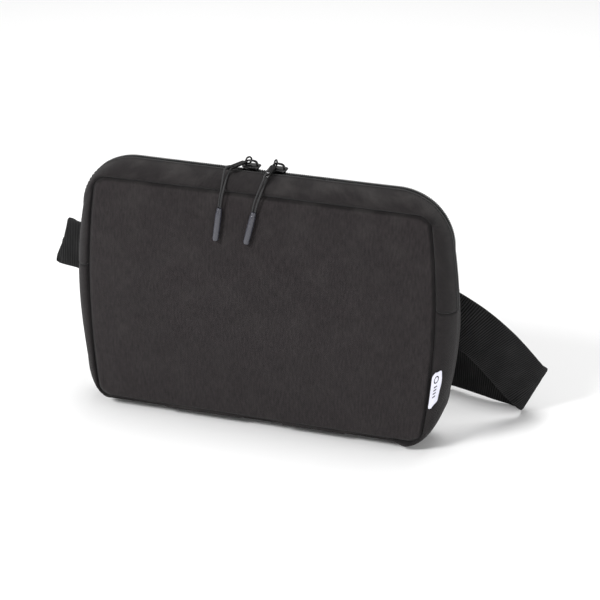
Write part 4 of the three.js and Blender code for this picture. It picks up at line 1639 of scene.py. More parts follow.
@dataclass(frozen=True)
class Slider:
    """A zip slider: two shaped plates, flanges, the web between them and a bridge for the pull."""

    name: str
    x: float
    length: float = 0.012
    width: float = 0.009
    plate: float = 0.0011
    web: float = 0.0006
    bridge_span: float = 0.009
    bridge_bar: float = 0.0012
    top: float = 0.1826
    bridge_z: float = 0.1868
    tape_top: float = 0.1808
    under: float = 0.1799

    def _plate(self, z0: float, z1: float) -> Object:
        """A plate with full shoulders, drawn in at its waist, and soft edges."""
        rings = []
        for share, grow in ((0.0, -0.0004), (0.2, -0.0001), (0.5, 0.0), (0.8, -0.0001), (1.0, -0.00045)):
            z = z0 + (z1 - z0) * share
            ring = []
            for x, y in rounded_loop(self.length / 2 + grow, self.width / 2 + grow, 0.0026, 6):
                waist = 1 - 0.16 * math.exp(-((x / 0.0022) ** 2))
                ring.append(Vector((self.x + x, y * waist, z)))
            rings.append(ring)
        return shade_by_angle(swept("plate", rings), 50)

    def _bridge(self) -> Object:
        """The arch over the top plate that the pull hangs from."""
        half, low, high = self.bridge_span / 2 - self.bridge_bar / 2, self.top + self.plate * 0.5, self.bridge_z
        path = [Vector((self.x - half, 0, low)), Vector((self.x - half, 0, low + 0.0008))]
        rise = high - low - 0.0008
        for k in range(1, 12):
            angle = math.pi * (1 - k / 12)
            flat = abs(math.cos(angle)) ** 0.75 * (1 if math.cos(angle) > 0 else -1)
            path.append(Vector((self.x + half * flat, 0, low + 0.0008 + rise * math.sin(angle) ** 0.7)))
        path += [Vector((self.x + half, 0, low + 0.0008)), Vector((self.x + half, 0, low))]
        rings = []
        for i, point in enumerate(path):
            ahead = (path[min(i + 1, len(path) - 1)] - path[max(i - 1, 0)]).normalized()
            lift = Vector((-ahead.z, 0, ahead.x))
            loop = rounded_loop(self.bridge_bar / 2, 0.00085, 0.0004, 3)
            rings.append([point + lift * a + Vector((0, b, 0)) for a, b in loop])
        return swept("bridge", rings)

    def build(self) -> Object:
        """Makes the slider as one shell."""
        half, side = self.length / 2, self.width / 2
        parts = [self._plate(self.top, self.top + self.plate), self._plate(self.under - self.plate, self.under)]
        low_flange = self.tape_top + FORM.gap
        for y in (-side + 0.0001, side - 0.0009):
            parts.append(
                rounded_box(
                    "flange", Vector((self.x - half + 0.0014, y, low_flange)),
                    Vector((self.x + half - 0.0014, y + 0.0008, self.top + self.plate * 0.6)), 0.0002, 2,
                )
            )
        parts.append(
            rounded_box(
                "web", Vector((self.x - half + 0.001, -self.web / 2, self.under - self.plate * 0.5)),
                Vector((self.x + half - 0.001, self.web / 2, self.top + 0.0005)), 0.00015, 1,
            )
        )
        parts.append(self._bridge())
        return shade_by_angle(unite(f"slider_body_{self.name}", parts), 40)


@dataclass(frozen=True)
class PullTab:
    """The flat metal tab with its ring and the slot that the cord goes through."""

    name: str
    place: PullFrame
    ring_radius: float = 0.0022
    ring_wire: float = 0.0006
    length: float = 0.016
    width: float = 0.005
    plate: float = 0.0013
    hole: float = 0.0028

    def _ring(self) -> Object:
        """The wire ring round the bridge."""
        points = []
        for k in range(28):
            angle = 2 * math.pi * k / 28
            points.append(Vector((0, self.ring_radius * math.cos(angle), self.ring_radius * math.sin(angle))))
        return tube("ring", points, self.ring_wire, 10, closed=True)

    def _plate(self) -> Object:
        """The plate: a rounded strip that widens to its end, round a rounded slot."""
        start, end = self.ring_radius + 0.0009, self.length + 0.0008
        middle = (start + end) / 2
        slot_middle = self.length - 0.0008 - self.hole / 2
        outer = rounded_loop(self.width / 2, (end - start) / 2, 0.0012, 6)
        inner = rounded_loop(self.hole / 2, self.hole / 2, 0.0006, 6)
        rings = []
        bevel = 0.0003
        half = self.plate / 2
        profile = [(-half, -bevel), (-half + bevel, 0.0), (half - bevel, 0.0), (half, -bevel)]
        for z, grow in profile:
            wider, longer = 1 + grow / self.width * 2, 1 + grow * 2 / (end - start)
            rings.append([self._shape(x * wider, y * longer, z, middle, start, end) for x, y in outer])
        for z, grow in reversed(profile):
            inset = 1 - grow * 2 / self.hole
            rings.append([Vector((x * inset, slot_middle + y * inset, z)) for x, y in inner])
        return shade_by_angle(swept("plate", rings, closed=True), 50)

    def _shape(self, x: float, y: float, z: float, middle: float, start: float, end: float) -> Vector:
        """Narrows the plate a little towards its ring."""
        share = (y + middle - start) / (end - start)
        return Vector((x * (0.84 + 0.16 * min(1.0, max(0.0, share * 1.6))), y + middle, z))

    def build(self) -> Object:
        """Makes the tab as one shell, in its place."""
        neck = rounded_box(
            "neck", Vector((-0.0008, self.ring_radius - 0.0002, -self.plate / 2 + 0.0001)),
            Vector((0.0008, self.ring_radius + 0.0018, self.plate / 2 - 0.0001)), 0.00025, 2,
        )
        tab = unite(f"tab_{self.name}", [self._plate(), neck, self._ring()])
        tab.data.transform(self.place.matrix())
        return shade_by_angle(tab, 40)


@dataclass(frozen=True)
class PullCord:
    """The doubled cord of one pull, looped through its tab, and the moulded tip on its ends."""

    name: str
    place: PullFrame
    tip_x: float
    lean: float
    tab_length: float = 0.016
    cord_radius: float = 0.00065
    tip_radius: float = 0.0021
    tip_length: float = 0.0225
    leave: float = 0.8

    def route(self) -> tuple[list[Vector], Vector, Vector]:
        """The cord's route points, and the tip's top and end."""
        place = self.place
        bar = place.hinge + place.along * self.tab_length
        flat = Vector((place.along.x, place.along.y, 0)).normalized()
        down = flat * math.cos(self.leave) + Vector((0, 0, -math.sin(self.leave)))
        lift = place.axis.cross(down)
        front_y = -FORM.half_depth - self.tip_radius - FORM.gap
        seam_z = FORM.middle_z + FORM.seam.height / 2
        top = Vector((self.tip_x, front_y - 0.0018, seam_z - 0.0095))
        end = Vector((self.tip_x + self.lean, front_y - 0.0042, seam_z - 0.0095 - self.tip_length))
        hang = (end - top).normalized()
        below = Vector((self.tip_x - self.lean * 0.2, front_y - 0.0014, seam_z - 0.0045))
        over = Vector(((bar.x + self.tip_x) / 2, -FORM.half_depth - 0.0026, seam_z + 0.0015))

        def strand(sign: float) -> list[Vector]:
            """One half of the doubled cord, from the tip to the tab."""
            return [
                top + place.axis * sign * 0.0009 - hang * FORM.gap,
                *(p + place.axis * sign * 0.0011 for p in (below, over)),
                bar + lift * sign * 0.00195 + down * 0.0022,
                bar + lift * sign * 0.0019,
            ]

        return [*strand(1), bar - down * 0.0019, *reversed(strand(-1))], top, end

    def build(self) -> tuple[Object, Object, list[Vector]]:
        """Makes the cord and its tip.

        Returns:
            The cord, the tip and the cord's middle line.
        """
        points, top, end = self.route()
        line = CentripetalCurve(points).sampled(16)
        cord = tube(f"cord_{self.name}", line, self.cord_radius, 12)
        hang = (end - top).normalized()
        r, full = self.tip_radius, self.tip_length
        profile = [
            (0, 0), (r * 0.55, 0), (r * 0.78, 0.0002), (r * 0.86, 0.0007), (r * 0.86, 0.0017),
            (r * 0.8, 0.0020), (r * 0.86, 0.0024), (r * 0.97, 0.0030), (r, 0.0045), (r, full * 0.6),
            (r * 0.985, full - 0.0014),
            (r * 0.93, full - 0.0006), (r * 0.78, full - 0.00015), (r * 0.5, full), (0, full),
        ]
        turn = Vector((0, 0, 1)).rotation_difference(hang).to_matrix().to_4x4()
        tip = lathe(f"tip_{self.name}", profile, 28, Matrix.Translation(top) @ turn)
        return cord, tip, line


class CentripetalCurve:
    """A smooth curve through points, which makes no loop or cusp between two of them."""

    def __init__(self, points: Sequence[Vector]) -> None:
        """Keeps the points and works out the two beyond the ends."""
        self.points = list(points)
        self.padded = [2 * points[0] - points[1], *points, 2 * points[-1] - points[-2]]

    def at(self, position: float) -> Vector:
        """The point at a position counted in spans from the first point."""
        spans = len(self.points) - 1
        index = min(int(position), spans - 1)
        t = position - index
        p0, p1, p2, p3 = self.padded[index:index + 4]
        d0, d1, d2 = (max((b - a).length, 1e-9) ** 0.5 for a, b in ((p0, p1), (p1, p2), (p2, p3)))
        t1 = ((p1 - p0) / d0 - (p2 - p0) / (d0 + d1) + (p2 - p1) / d1) * d1
        t2 = ((p2 - p1) / d1 - (p3 - p1) / (d1 + d2) + (p3 - p2) / d2) * d1
        return p1 + t1 * t + (3 * (p2 - p1) - 2 * t1 - t2) * t**2 + (2 * (p1 - p2) + t1 + t2) * t**3

    def sampled(self, steps: int) -> list[Vector]:
        """Points along the curve, with a number of steps in each span."""
        spans = len(self.points) - 1
        return [self.at(k / steps) for k in range(spans * steps + 1)]


class ZipPulls:
    """Both sliders with their tabs, cords and tips."""

    left_x = -0.011
    right_x = 0.0075
    ring_offset = -0.002

    def build(self) -> None:
        """Makes and places every moving piece of the zip."""
        for name, x, forward, slope, tip_x, lean in (
            ("left", self.left_x, (-0.62, -0.785), 0.17, -0.0251, -0.0021),
            ("right", self.right_x, (-0.12, -0.993), 0.26, -0.0016, -0.0046),
        ):
            slider = Slider(name, x)
            place_piece(slider.build(), "metal", f"slider_{name}", (f"slider_{name}",))
            hinge = Vector((x + self.ring_offset, 0, slider.bridge_z))
            place = PullFrame.at(hinge, forward, slope)
            tab = PullTab(name, place).build()
            place_piece(tab, "metal", f"pull_tab_{name}", (f"pull_tab_{name}",))
            cord, tip, line = PullCord(name, place, tip_x, lean).build()
            place_piece(cord, "cord", f"pull_cord_{name}", (f"pull_cord_{name}",))
            place_piece(tip, "tip", f"pull_cord_{name}", (f"cord_tip_{name}",))
            length = running_length(line)[-1]
            tuple(line[0])
            [tuple(p) for p in line]
            LOG.info("cord_%s is %.1f mm long", name, length / MM)


@dataclass(frozen=True)
class SideLabel:
    """A folded woven label sewn into the front seam on the right side."""

    height: float = 0.025
    reach: float = 0.0056
    middle: float = 0.0480
    sheet: float = 0.0007

    def build(self) -> None:
        """Makes the label and its fold."""
        straight = FORM.seam.height - 2 * FORM.seam.corner
        last = FORM.share_at(-FORM.half_depth + 0.45 * self.reach)
        rows, uv = [], []
        for k in spaced(-0.5, 0.5, 41):
            station = 2.5 + (self.middle + k * self.height - FORM.middle_z) / straight
            row, marks = [], []
            worn = max(0.0, (abs(k) - 0.4) / 0.1) ** 2
            for part in spaced(0, 1, 15):
                first = 0.028 + 0.3 * last * worn
                share = first + (last * (1 + 0.1 * k) * (1 - 0.3 * worn) - first) * part
                out = FORM.outward(station, share)
                wave = 0.0003 * math.sin(k * 9.0) + 0.0013 * part**2 * (0.35 + 0.6 * math.cos(k * 4.5))
                point = FORM.gusset(station, share) + out * (FORM.gap + self.sheet + wave)
                point.z += 0.0012 * part**2 * (k + 0.15) - 0.0012 * worn * part * math.copysign(1, k)
                row.append(FORM.relax(point))
                marks.append((part * 0.0108, (k + 0.5) * self.height))
            rows.append(row)
            uv.append(marks)
        label = skin("label_fold", rows, uv, flip=True)
        label = thicken(label, self.sheet)
        modifier = label.modifiers.new("fold", "BEVEL")
        modifier.width = 0.00025
        modifier.segments = 2
        modifier.limit_method = "ANGLE"
        modifier.angle_limit = math.radians(60)
        place_piece(settle(label), "label", stands_for=("side_label",))


# ---- Belt ----
@dataclass(frozen=True)
class Stop:
    """A point of a strap's route, with the direction of the strap's width."""

    at: Vector
    wide: Vector


def stop(x: float, y: float, z: float, wide: Vector = UP) -> Stop:
    """A stop at a place in metres."""
    return Stop(Vector((x, y, z)), wide.normalized())


@dataclass(frozen=True)
class Fold:
    """A bend of a flat strap round a slanted line that lies in it."""

    start: Vector
    heading: Vector
    line: Vector
    degrees: float
    radius: float

    def _parts(self) -> tuple[float, Vector, Vector, Vector]:
        """The slip along the line, the way across it, the inward direction and the strap's width there."""
        slip = self.heading.dot(self.line)
        across = self.heading - self.line * slip
        wide = self.line - self.heading * slip
        if wide.z < 0:
            wide = -wide
        return slip, across, self.line.cross(across).normalized(), wide.normalized()

    def stops(self) -> list[Stop]:
        """The stops of the strap's middle from the bend's start to its end."""
        slip, across, inward, wide = self._parts()
        stops = []
        for share in spaced(0, 1, 6):
            angle = math.radians(self.degrees) * share
            turn = Quaternion(self.line, angle)
            slide = self.line * (slip / across.length * self.radius * angle)
            middle = self.start + inward * self.radius + turn @ (inward * -self.radius) + slide
            stops.append(Stop(middle, (turn @ wide).normalized()))
        return stops

    def correction(self, travel: float, sideways: float, outward: float) -> Vector:
        """What a point off the strap's middle needs so that the strap bends like a flat sheet.

        Args:
            travel: distance along the strap's middle past the bend's start.
            sideways: distance from the middle along the strap's width.
            outward: distance out of the strap's face.

        Returns:
            The shift from a plain cross-section to the true bend.
        """
        slip, across, inward, wide = self._parts()
        unit = across.normalized()
        total = math.radians(self.degrees) * self.radius
        face = self.heading.cross(wide)

        def bent(reach: float, slide: float, off: float) -> Vector:
            """A point of the bent sheet, by its reach across the line and its slide along it."""
            clamped = min(max(reach, 0.0), total)
            turn = Quaternion(self.line, clamped / self.radius)
            place = self.start + inward * self.radius + turn @ (inward * (-self.radius)) + self.line * slide
            return place + turn @ (unit * (reach - clamped) + face * off)

        reach_middle = travel * across.length
        angle = min(max(reach_middle, 0.0), total) / self.radius
        turn = Quaternion(self.line, angle)
        plain = bent(reach_middle, travel * slip, 0.0) + turn @ (wide * sideways + face * outward)
        reach = reach_middle + sideways * wide.dot(unit)
        true = bent(reach, travel * slip + sideways * wide.dot(self.line), outward)
        return true - plain


@dataclass(frozen=True)
class Strap:
    """A woven strap along a route: a flat band with rounded edges and raised ribs."""

    name: str
    route: tuple[Stop, ...]
    fold: Fold
    width: float = 0.035
    thickness: float = 0.0015
    rib_pitch: float = 0.0017
    rib_height: float = 0.00045

    def frames(self, step: float) -> list[tuple[Vector, Vector, Vector]]:
        """Point, width direction and face direction at even steps along the strap.

        Args:
            step: the distance between them.

        Returns:
            The frames from one end to the other.
        """
        curve = CentripetalCurve([s.at for s in self.route])
        spans = len(self.route) - 1
        fine = [k / 24 for k in range(spans * 24 + 1)]
        lengths = running_length([curve.at(t) for t in fine])
        count = max(2, round(lengths[-1] / step))
        frames = []
        for target in spaced(0, lengths[-1], count + 1):
            t = float(np.interp(target, lengths, fine))
            point = curve.at(t)
            ahead = (curve.at(min(t + 0.02, spans)) - curve.at(max(t - 0.02, 0))).normalized()
            index = min(int(t), spans - 1)
            wide = self.route[index].wide.lerp(self.route[index + 1].wide, t - index)
            wide = (wide - ahead * wide.dot(ahead)).normalized()
            frames.append((point, wide, ahead.cross(wide)))
        return frames

    def build(self) -> Object:
        """Makes the strap's mesh."""
        step = self.rib_pitch / 4
        half_w, half_t = self.width / 2, self.thickness / 2
        tops = [half_w * k for k in (-0.955, -0.9, -0.72, -0.36, 0.0, 0.36, 0.72, 0.9, 0.955)]
        section = [(a, half_t, 1.0) for a in reversed(tops)] + [(-half_w, 0.0003, 0.0), (-half_w, -0.0003, 0.0)]
        section += [(a, -half_t, 1.0) for a in tops] + [(half_w, -0.0003, 0.0), (half_w, 0.0003, 0.0)]
        thin_from, bare_from = 0.94 * half_w, 0.93 * half_w
        section = [
            (a, b * (0.8 if abs(a) > thin_from else 1.0), share * (abs(a) < bare_from))
            for a, b, share in section
        ]
        rows, uv, distance, shares = [], [], [], []
        frames = self.frames(step)
        bend_start = min(range(len(frames)), key=lambda k: (frames[k][0] - self.fold.start).length) * step
        for i, (point, wide, face) in enumerate(frames):
            here = i * step
            near_bend = -0.06 < here - bend_start < 0.12
            row = []
            for a, b, _ in section:
                shift = self.fold.correction(here - bend_start, a, b) if near_bend else Vector()
                row.append(point + wide * a + face * b + shift)
            rows.append(row)
            distance += [here] * len(section)
            shares += [s for _, _, s in section]
            uv.append([(a, here) for a, _, _ in section] + [(section[0][0], here)])
        strap = swept(self.name, rows)
        layer = strap.data.uv_layers[0]
        flat = [c for row in uv for c in row]
        width = len(section)
        for polygon in strap.data.polygons:
            for loop in polygon.loop_indices:
                vertex = strap.data.loops[loop].vertex_index
                row, column = divmod(vertex, width)
                layer.data[loop].uv = flat[row * (width + 1) + column]
        mark_points(strap, "distance", distance)
        mark_points(strap, "rib_share", shares)
        return RibTree.run(strap, "webbing", Pitch=self.rib_pitch, Height=self.rib_height)


@dataclass(frozen=True)
class Belt:
    """The belt: a long right side stored in three runs, and a short left side to the buckle."""

    hank_z: float = 0.0203
    run_a: float = 0.086
    run_b: float = 0.082
    run_c: float = 0.078
    tail_y: float = 0.0759
    buckle_y: float = 0.0730
    buckle_z: float = 0.0236
    hank_left: float = -0.080
    hank_right: float = 0.079
    keeper_x: float = 0.058
    anchor_x: float = 0.1169
    anchor_y: float = 0.02195
    fold_reach: float = 0.055
    left_reach: float = 0.0472
    right_bar: float = 0.002
    left_bar: float = -0.0485
    right_radius: float = 0.0100
    left_radius: float = 0.0024

    def _half_turn(self, x: float, from_y: float, to_y: float, side: int) -> list[Stop]:
        """A half turn of the stored belt from one run to the next."""
        r = abs(from_y - to_y) / 2
        sign = math.copysign(1, to_y - from_y)
        turns = [math.radians(d) for d in (-60, -20, 20, 60)]
        middle = (from_y + to_y) / 2
        return [stop(x + side * r * math.cos(a), middle + sign * r * math.sin(a), self.hank_z) for a in turns]

    def right_fold(self) -> Fold:
        """Where the long side turns back behind the bag."""
        start = Vector((self.anchor_x + self.fold_reach, FORM.half_depth + 0.034, self.hank_z + 0.006))
        heading, line = Vector((0.6, 0.35, -0.72)), Vector((0.421, 0, 0.907))
        return Fold(start, heading.normalized(), line.normalized(), 138, self.right_radius)

    def left_fold(self) -> Fold:
        """Where the short side turns back behind the bag."""
        height = FORM.middle_z + 0.0025
        start = Vector((-self.anchor_x - self.left_reach, self.anchor_y + self.left_reach * 0.42, height))
        heading, line = Vector((-0.92, 0.39, 0)), Vector((-0.33, 0, -0.944))
        return Fold(start, heading.normalized(), line.normalized(), 141, self.left_radius)

    def right_route(self) -> tuple[Stop, ...]:
        """The long side, from the bag through its stored runs and round the adjuster."""
        anchor = Vector((self.anchor_x, self.anchor_y, FORM.middle_z - 0.002))
        start = self.right_fold().start
        near = []
        for k in (0, 0.3, 0.6):
            p = anchor.lerp(start, k) + mm(1, -6, 8) * (4 * k * (1 - k))
            near.append(Stop(p, Vector((0.62 + 0.1 * k, 0.15 * k, 0.78 - 0.1 * k)).normalized()))
        bend = self.right_fold().stops()
        z, a, b, c, keep, bar = self.hank_z, self.run_a, self.run_b, self.run_c, self.keeper_x, self.right_bar
        left, right = self.hank_left, self.hank_right
        away = [stop(start.x - 0.032, a - 0.0115, z - 0.0003), stop(start.x - 0.058, a - 0.003, z)]
        hank = [stop(x, a, z) for x in (right + 0.015, right, -0.020, left + 0.001)]
        hank += self._half_turn(left, a, b, -1)
        hank += [stop(x, b, z) for x in (left + 0.001, 0.010, right - 0.001)]
        hank += self._half_turn(right, b, c, 1)
        hank += [stop(x, c, z) for x in (right - 0.001, keep + 0.010, keep - 0.012, keep - 0.020)]
        hank += [stop(bar + 0.017, c, self.buckle_z), stop(bar + 0.005, c, self.buckle_z)]
        turn = [(0, 4.2), (-3.1, 2.2), (-3.6, 0), (-2.6, -2.6), (0, -3.2)]
        turn += [(2.8, -2.3), (4.5, 0), (6.8, 2.3), (10.5, 2.85)]
        bar_turn = [stop(bar + x * MM, self.buckle_y + y * MM, self.buckle_z) for x, y in turn]
        tail = [stop(bar + 0.017, self.tail_y, self.buckle_z)]
        tail += [stop(keep + x * MM, self.tail_y, z) for x in (-20, -12, 10, 22)]
        return tuple([*near, *bend, *away, *hank, *bar_turn, *tail])

    def left_route(self) -> tuple[Stop, ...]:
        """The short side, from the bag to the buckle's fixed bar and back on itself."""
        height = FORM.middle_z + 0.005
        anchor = Vector((-self.anchor_x, self.anchor_y, height))
        start = self.left_fold().start
        near = [Stop(anchor, UP), Stop((anchor + start) / 2, UP)]
        bend = self.left_fold().stops()
        end, bar, y, z = bend[-1].at, self.left_bar, self.buckle_y, self.buckle_z
        arrive = Vector((bar - 0.020, y - 0.0033, z + 0.0008))
        drop = []
        for k in (0.3, 0.6, 0.85):
            p = end.lerp(arrive, k) + mm(0, 2, 7) * (4 * k * (1 - k))
            drop.append(Stop(p, Vector((0.62 * (1 - k**3), 0, 0.82)).normalized()))
        drop += [Stop(arrive, UP), stop(bar - 0.007, y - 0.0031, z)]
        turn = [(0, -3.15), (2.6, -1.9), (3.15, 0), (2.6, 1.9), (0, 3.15), (-5, 2.2)]
        bar_turn = [stop(bar + a * MM, y + b * MM, z) for a, b in turn]
        overlap = [stop(bar - 0.012, y - 0.0009, z)]
        overlap.append(stop(bar - 0.020, y - 0.0011, z + 0.0006, Vector((0.06, 0, 1))))
        return tuple([*near, *bend, *drop, *bar_turn, *overlap])

    def _tack(self, name: str, strap: Strap, at: float, length: float, both: bool = False) -> None:
        """Sews a box of close stitches across a strap, a distance from its start."""
        frames = strap.frames(0.0005)
        first = round(at / 0.0005)
        last = min(len(frames) - 1, round((at + length) / 0.0005))
        lift = strap.thickness / 2 + 0.0001
        places = spaced(-0.0145, 0.0145, 16)
        lines = []
        for side in (1, -1) if both else (1,):
            for index in sorted({first, last}):
                point, wide, face = frames[index]
                lines.append([(point + wide * a + face * lift * side, face * side) for a in places])
        Sewing(length=0.0020, pitch=0.0023, width=0.00055, height=0.0005).sew(name, lines, slot="belt_webbing")

    def build(self) -> None:
        """Makes and places both sides of the belt, and their sewing."""
        right = Strap("webbing_right", self.right_route(), self.right_fold())
        left = Strap("webbing_left", self.left_route(), self.left_fold())
        for strap, node in ((right, "belt_right"), (left, "belt_left")):
            place_piece(strap.build(), "webbing", stands_for=(node,))
            self._tack(f"tack_{node[5:]}", strap, 0.004, 0.005, both=True)
        total = running_length([f[0] for f in left.frames(0.0005)])[-1]
        self._tack("tack_buckle", left, total - 0.0125, 0.007)
        right_total = running_length([f[0] for f in right.frames(0.0005)])[-1]
        self._tack("tack_tail", right, right_total - 0.006, 0.003, both=True)
        BeltWing("right", 1, FORM.middle_z - 0.004).build()
        BeltWing("left", -1, FORM.middle_z + 0.005).build()
        LOG.info("belt is %.0f mm and %.0f mm long", right_total / MM, total / MM)


@dataclass(frozen=True)
class BeltWing:
    """A cloth patch sewn over the end of the webbing on the rear panel."""

    name: str
    side: int
    z: float
    x: float = 0.1095
    half_x: float = 0.0085
    half_z: float = 0.0225
    y: float = 0.0240
    edge_drop: float = 0.0018

    def _point(self, a: float, b: float, lift: float = 0.0) -> Vector:
        """A point of the patch, by its share from the middle to its edges."""
        round_off = 1 - 0.10 * (abs(a) * abs(b)) ** 4
        near = max(abs(a), abs(b)) ** 5
        y = self.y - self.edge_drop * near + 0.0002 * bumps(Vector((a, b, self.side)), 0.6) + lift
        x, z = self.x + a * self.half_x * round_off, self.z + b * self.half_z * round_off
        return Vector((self.side * x, y, z))

    def build(self) -> None:
        """Makes the patch and the two rows that hold it."""
        across, up = spaced(-1, 1, 15), spaced(-1, 1, 33)
        rows = [[self._point(a, b) for a in across] for b in up]
        uv = [[(a * self.half_x, b * self.half_z) for a in across] for b in up]
        patch = thicken(skin(f"wing_{self.name}", rows, uv, flip=self.side > 0), 0.0012)
        place_piece(patch, "gusset")
        out = Vector((0, 1, 0))
        lines = []
        for inset in (0.82, 0.62):
            low, high = -inset - 0.1, inset + 0.1
            corners = [(-inset, low), (inset, low), (inset, high), (-inset, high)]
            line = []
            for (a0, b0), (a1, b1) in zip(corners, [*corners[1:], corners[0]]):
                for k in range(8):
                    line.append((self._point(a0 + (a1 - a0) * k / 8, b0 + (b1 - b0) * k / 8, 0.0001), out))
            lines.append(line)
        Sewing(length=0.002, pitch=0.0026).sew(f"wing_thread_{self.name}", lines, closed=True)


@dataclass(frozen=True)
class Buckle:
    """The side-release buckle: two moulded halves and the spring prongs."""

    x: float = -0.012
    y: float = 0.0730
    z: float = 0.0236
    deep: float = 0.010

    def _ridges(self, x0: float, pitch: float, count: int, half_z: float, side: int) -> list[Object]:
        """Grip ridges across a face of the buckle."""
        ridges = []
        for k in range(count):
            x = self.x + x0 + k * pitch
            y = self.y + side * self.deep / 2
            low = Vector((x - 0.0005, y - 0.0004, self.z - half_z))
            high = Vector((x + 0.0005, y + 0.0004, self.z + half_z))
            ridges.append(rounded_box("ridge", low, high, 0.0003, 2))
        return ridges

    def build(self) -> None:
        """Rounds the moulded halves and adds their ridges and grips."""
        female = softened_copy("buckle_female", "buckle_socket", 0.0007)
        ridges = self._ridges(-0.0075, 0.002, 3, 0.011, 1) + self._ridges(-0.0075, 0.002, 3, 0.011, -1)
        socket = shade_by_angle(unite("buckle_socket", [female, *ridges]), 30)
        place_piece(socket, "plastic", stands_for=("buckle_female",))
        male = softened_copy("buckle_male", "buckle_plug", 0.0006)
        place_piece(male, "plastic", stands_for=("buckle_male",))
        for name in ("upper", "lower"):
            prong = softened_copy(f"buckle_prong_{name}", f"prong_{name}", 0.0005)
            place_piece(prong, "plastic", f"prong_{name}", (f"buckle_prong_{name}",))


@dataclass(frozen=True)
class Keeper:
    """A ribbed elastic loop round the stored runs."""

    x: float = 0.058
    length: float = 0.014
    wall: float = 0.0016
    low_y: float = 0.07465
    high_y: float = 0.08725
    z: float = 0.0203
    half_z: float = 0.0180
    rib_pitch: float = 0.0016

    def build(self) -> None:
        """Makes the loop, its ribs and the sewing that closes it."""
        middle_y, half_y = (self.low_y + self.high_y) / 2, (self.high_y - self.low_y) / 2 + self.wall / 2
        loop = []
        for y, z in rounded_loop(half_y, self.half_z + self.wall / 2, 0.0017, 6):
            loop.append(Vector((0, middle_y + y, self.z + z)))
        dense = []
        for a, b in zip(loop, [*loop[1:], loop[0]]):
            count = max(1, round((b - a).length / 0.0016))
            dense += [a.lerp(b, k / count) for k in range(count)]
        half_t = self.wall / 2
        steps = round(self.length / self.rib_pitch * 5)
        xs = [(k / steps - 0.5) * (self.length - 0.0006) for k in range(steps + 1)]
        edge = self.length / 2
        section = [(x, half_t, 1.0) for x in xs] + [(edge, half_t * 0.45, 0.0), (edge, -half_t * 0.45, 0.0)]
        section += [(x, -half_t, 0.0) for x in reversed(xs)]
        section += [(-edge, -half_t * 0.45, 0.0), (-edge, half_t * 0.45, 0.0)]
        rows, distance, shares = [], [], []
        count = len(dense)
        for i, point in enumerate(dense):
            ahead = (dense[(i + 1) % count] - dense[i - 1]).normalized()
            out = ahead.cross(Vector((1, 0, 0)))
            if out.dot(point - Vector((0, middle_y, self.z))) < 0:
                out = -out
            rows.append([point + Vector((self.x + x, 0, 0)) + out * b for x, b, _ in section])
            distance += [x + 0.1 for x, _, _ in section]
            shares += [s for _, _, s in section]
        band = swept("elastic_loop", rows, closed=True)
        mark_points(band, "distance", distance)
        mark_points(band, "rib_share", shares)
        RibTree.run(band, "elastic", Pitch=self.rib_pitch, Height=0.0003)
        place_piece(band, "elastic", "keeper", ("strap_keeper",))
        out = Vector((0, 1, 0))
        y = self.high_y + self.wall + 0.00005
        lines = []
        for x in (-0.0022, 0.0022):
            lines.append([(Vector((self.x + x, y, self.z + z)), out) for z in spaced(-0.006, 0.006, 7)])
        Sewing(length=0.0016, pitch=0.0019, width=0.0005, height=0.0004).sew(
            "loop_thread", lines, "keeper", slot="keeper_elastic"
        )


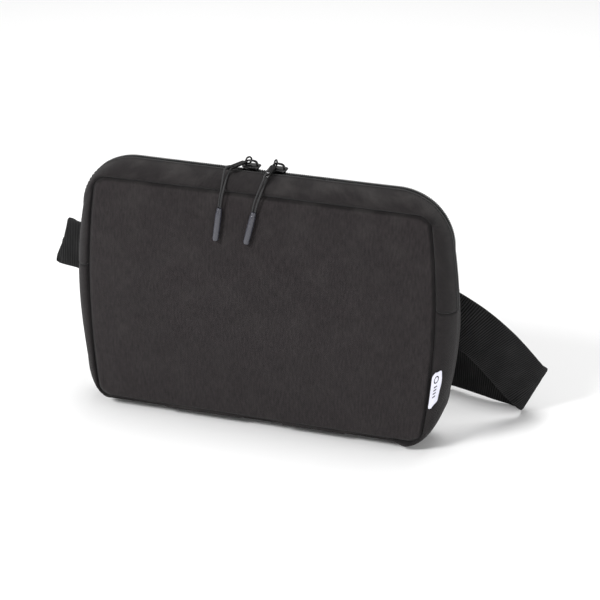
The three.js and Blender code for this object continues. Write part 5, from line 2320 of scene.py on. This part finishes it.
# ---- Studio ----
@dataclass(frozen=True)
class Studio:
    """A pale floor, soft light and the camera."""

    eye: tuple[float, float, float] = (0.3695, -1.1751, 0.6370)
    azimuth: float = 16.4
    elevation: float = 24.0
    roll: float = 1.0
    lens: float = 120.0
    lights: tuple = (
        ("key", (-0.9, -1.5, 1.35), 0.6, 40),
        ("side", (1.7, 0.1, 0.7), 0.8, 5),
        ("fill", (1.4, -1.4, 0.7), 1.2, 7),
        ("top", (0.1, 0.5, 1.9), 1.3, 19),
    )

    def build(self) -> None:
        """Sets up the floor, the lights and the camera."""
        self._floor()
        self._lights()
        self._camera()

    def _floor(self) -> None:
        """A wide pale floor with a faint unevenness."""
        bpy.ops.mesh.primitive_plane_add(size=8, location=(0, 0, 0))
        floor = bpy.context.object
        floor.name = "floor"
        material = bpy.data.materials.new("pale_floor")
        material.use_nodes = True
        tree = material.node_tree
        surface = tree.nodes["Principled BSDF"]
        coordinates = tree.nodes.new("ShaderNodeTexCoord").outputs["Object"]
        grain = ShaderGroups.place(tree, "grain", {"Vector": coordinates, "Fine": 0.002, "Broad": 0.4})
        pale = mix_colour(tree, grain.outputs["Broad"], (0.9, 0.9, 0.9), (0.92, 0.92, 0.92))
        tree.links.new(pale, surface.inputs["Base Color"])
        surface.inputs["Roughness"].default_value = 0.9
        surface.inputs["Specular IOR Level"].default_value = 0.1
        floor.data.materials.append(material)

    def _light(self, name: str, place: Vector, aim: Vector, size: float, power: float) -> None:
        """One soft area light that looks at a point."""
        data = bpy.data.lights.new(name, "AREA")
        data.shape = "DISK"
        data.size = size
        data.energy = power
        light = bpy.data.objects.new(name, data)
        bpy.context.scene.collection.objects.link(light)
        light.location = place
        light.rotation_euler = (aim - place).to_track_quat("-Z", "Y").to_euler()

    def _lights(self) -> None:
        """A key from the upper left, light from the right, the front right and above, and a bright room."""
        aim = Vector((0, 0, 0.09))
        for name, place, size, power in self.lights:
            self._light(name, Vector(place), aim, size, power)
        world = bpy.data.worlds.new("room")
        bpy.context.scene.world = world
        world.use_nodes = True
        world.node_tree.nodes["Background"].inputs[0].default_value = (1, 1, 1, 1)
        world.node_tree.nodes["Background"].inputs[1].default_value = 0.45

    def _camera(self) -> None:
        """The camera, a little right of the front and above it."""
        data = bpy.data.cameras.new("view")
        data.sensor_width = 36.0
        data.lens = self.lens
        data.clip_start = 0.05
        data.clip_end = 20.0
        camera = bpy.data.objects.new("view", data)
        bpy.context.scene.collection.objects.link(camera)
        yaw, pitch = math.radians(self.azimuth), math.radians(self.elevation)
        turn = Matrix.Rotation(yaw, 4, "Z") @ Matrix.Rotation(math.pi / 2 - pitch, 4, "X")
        roll = Matrix.Rotation(math.radians(self.roll), 4, "Z")
        camera.matrix_world = Matrix.Translation(Vector(self.eye)) @ turn @ roll
        bpy.context.scene.camera = camera
        bpy.context.scene.view_settings.view_transform = "Standard"


def main() -> None:
    """Builds the bag's pieces in order, then the studio."""
    logging.basicConfig(level=logging.INFO, format="%(name)s: %(message)s", stream=sys.stdout)
    Studio().build()
    ZipPulls().build()
    Shell().build()
    Zip().build()
    SideLabel().build()
    Belt().build()
    Buckle().build()
    Keeper().build()
    SmallPieces.clear()


if __name__ == "__main__":
    main()
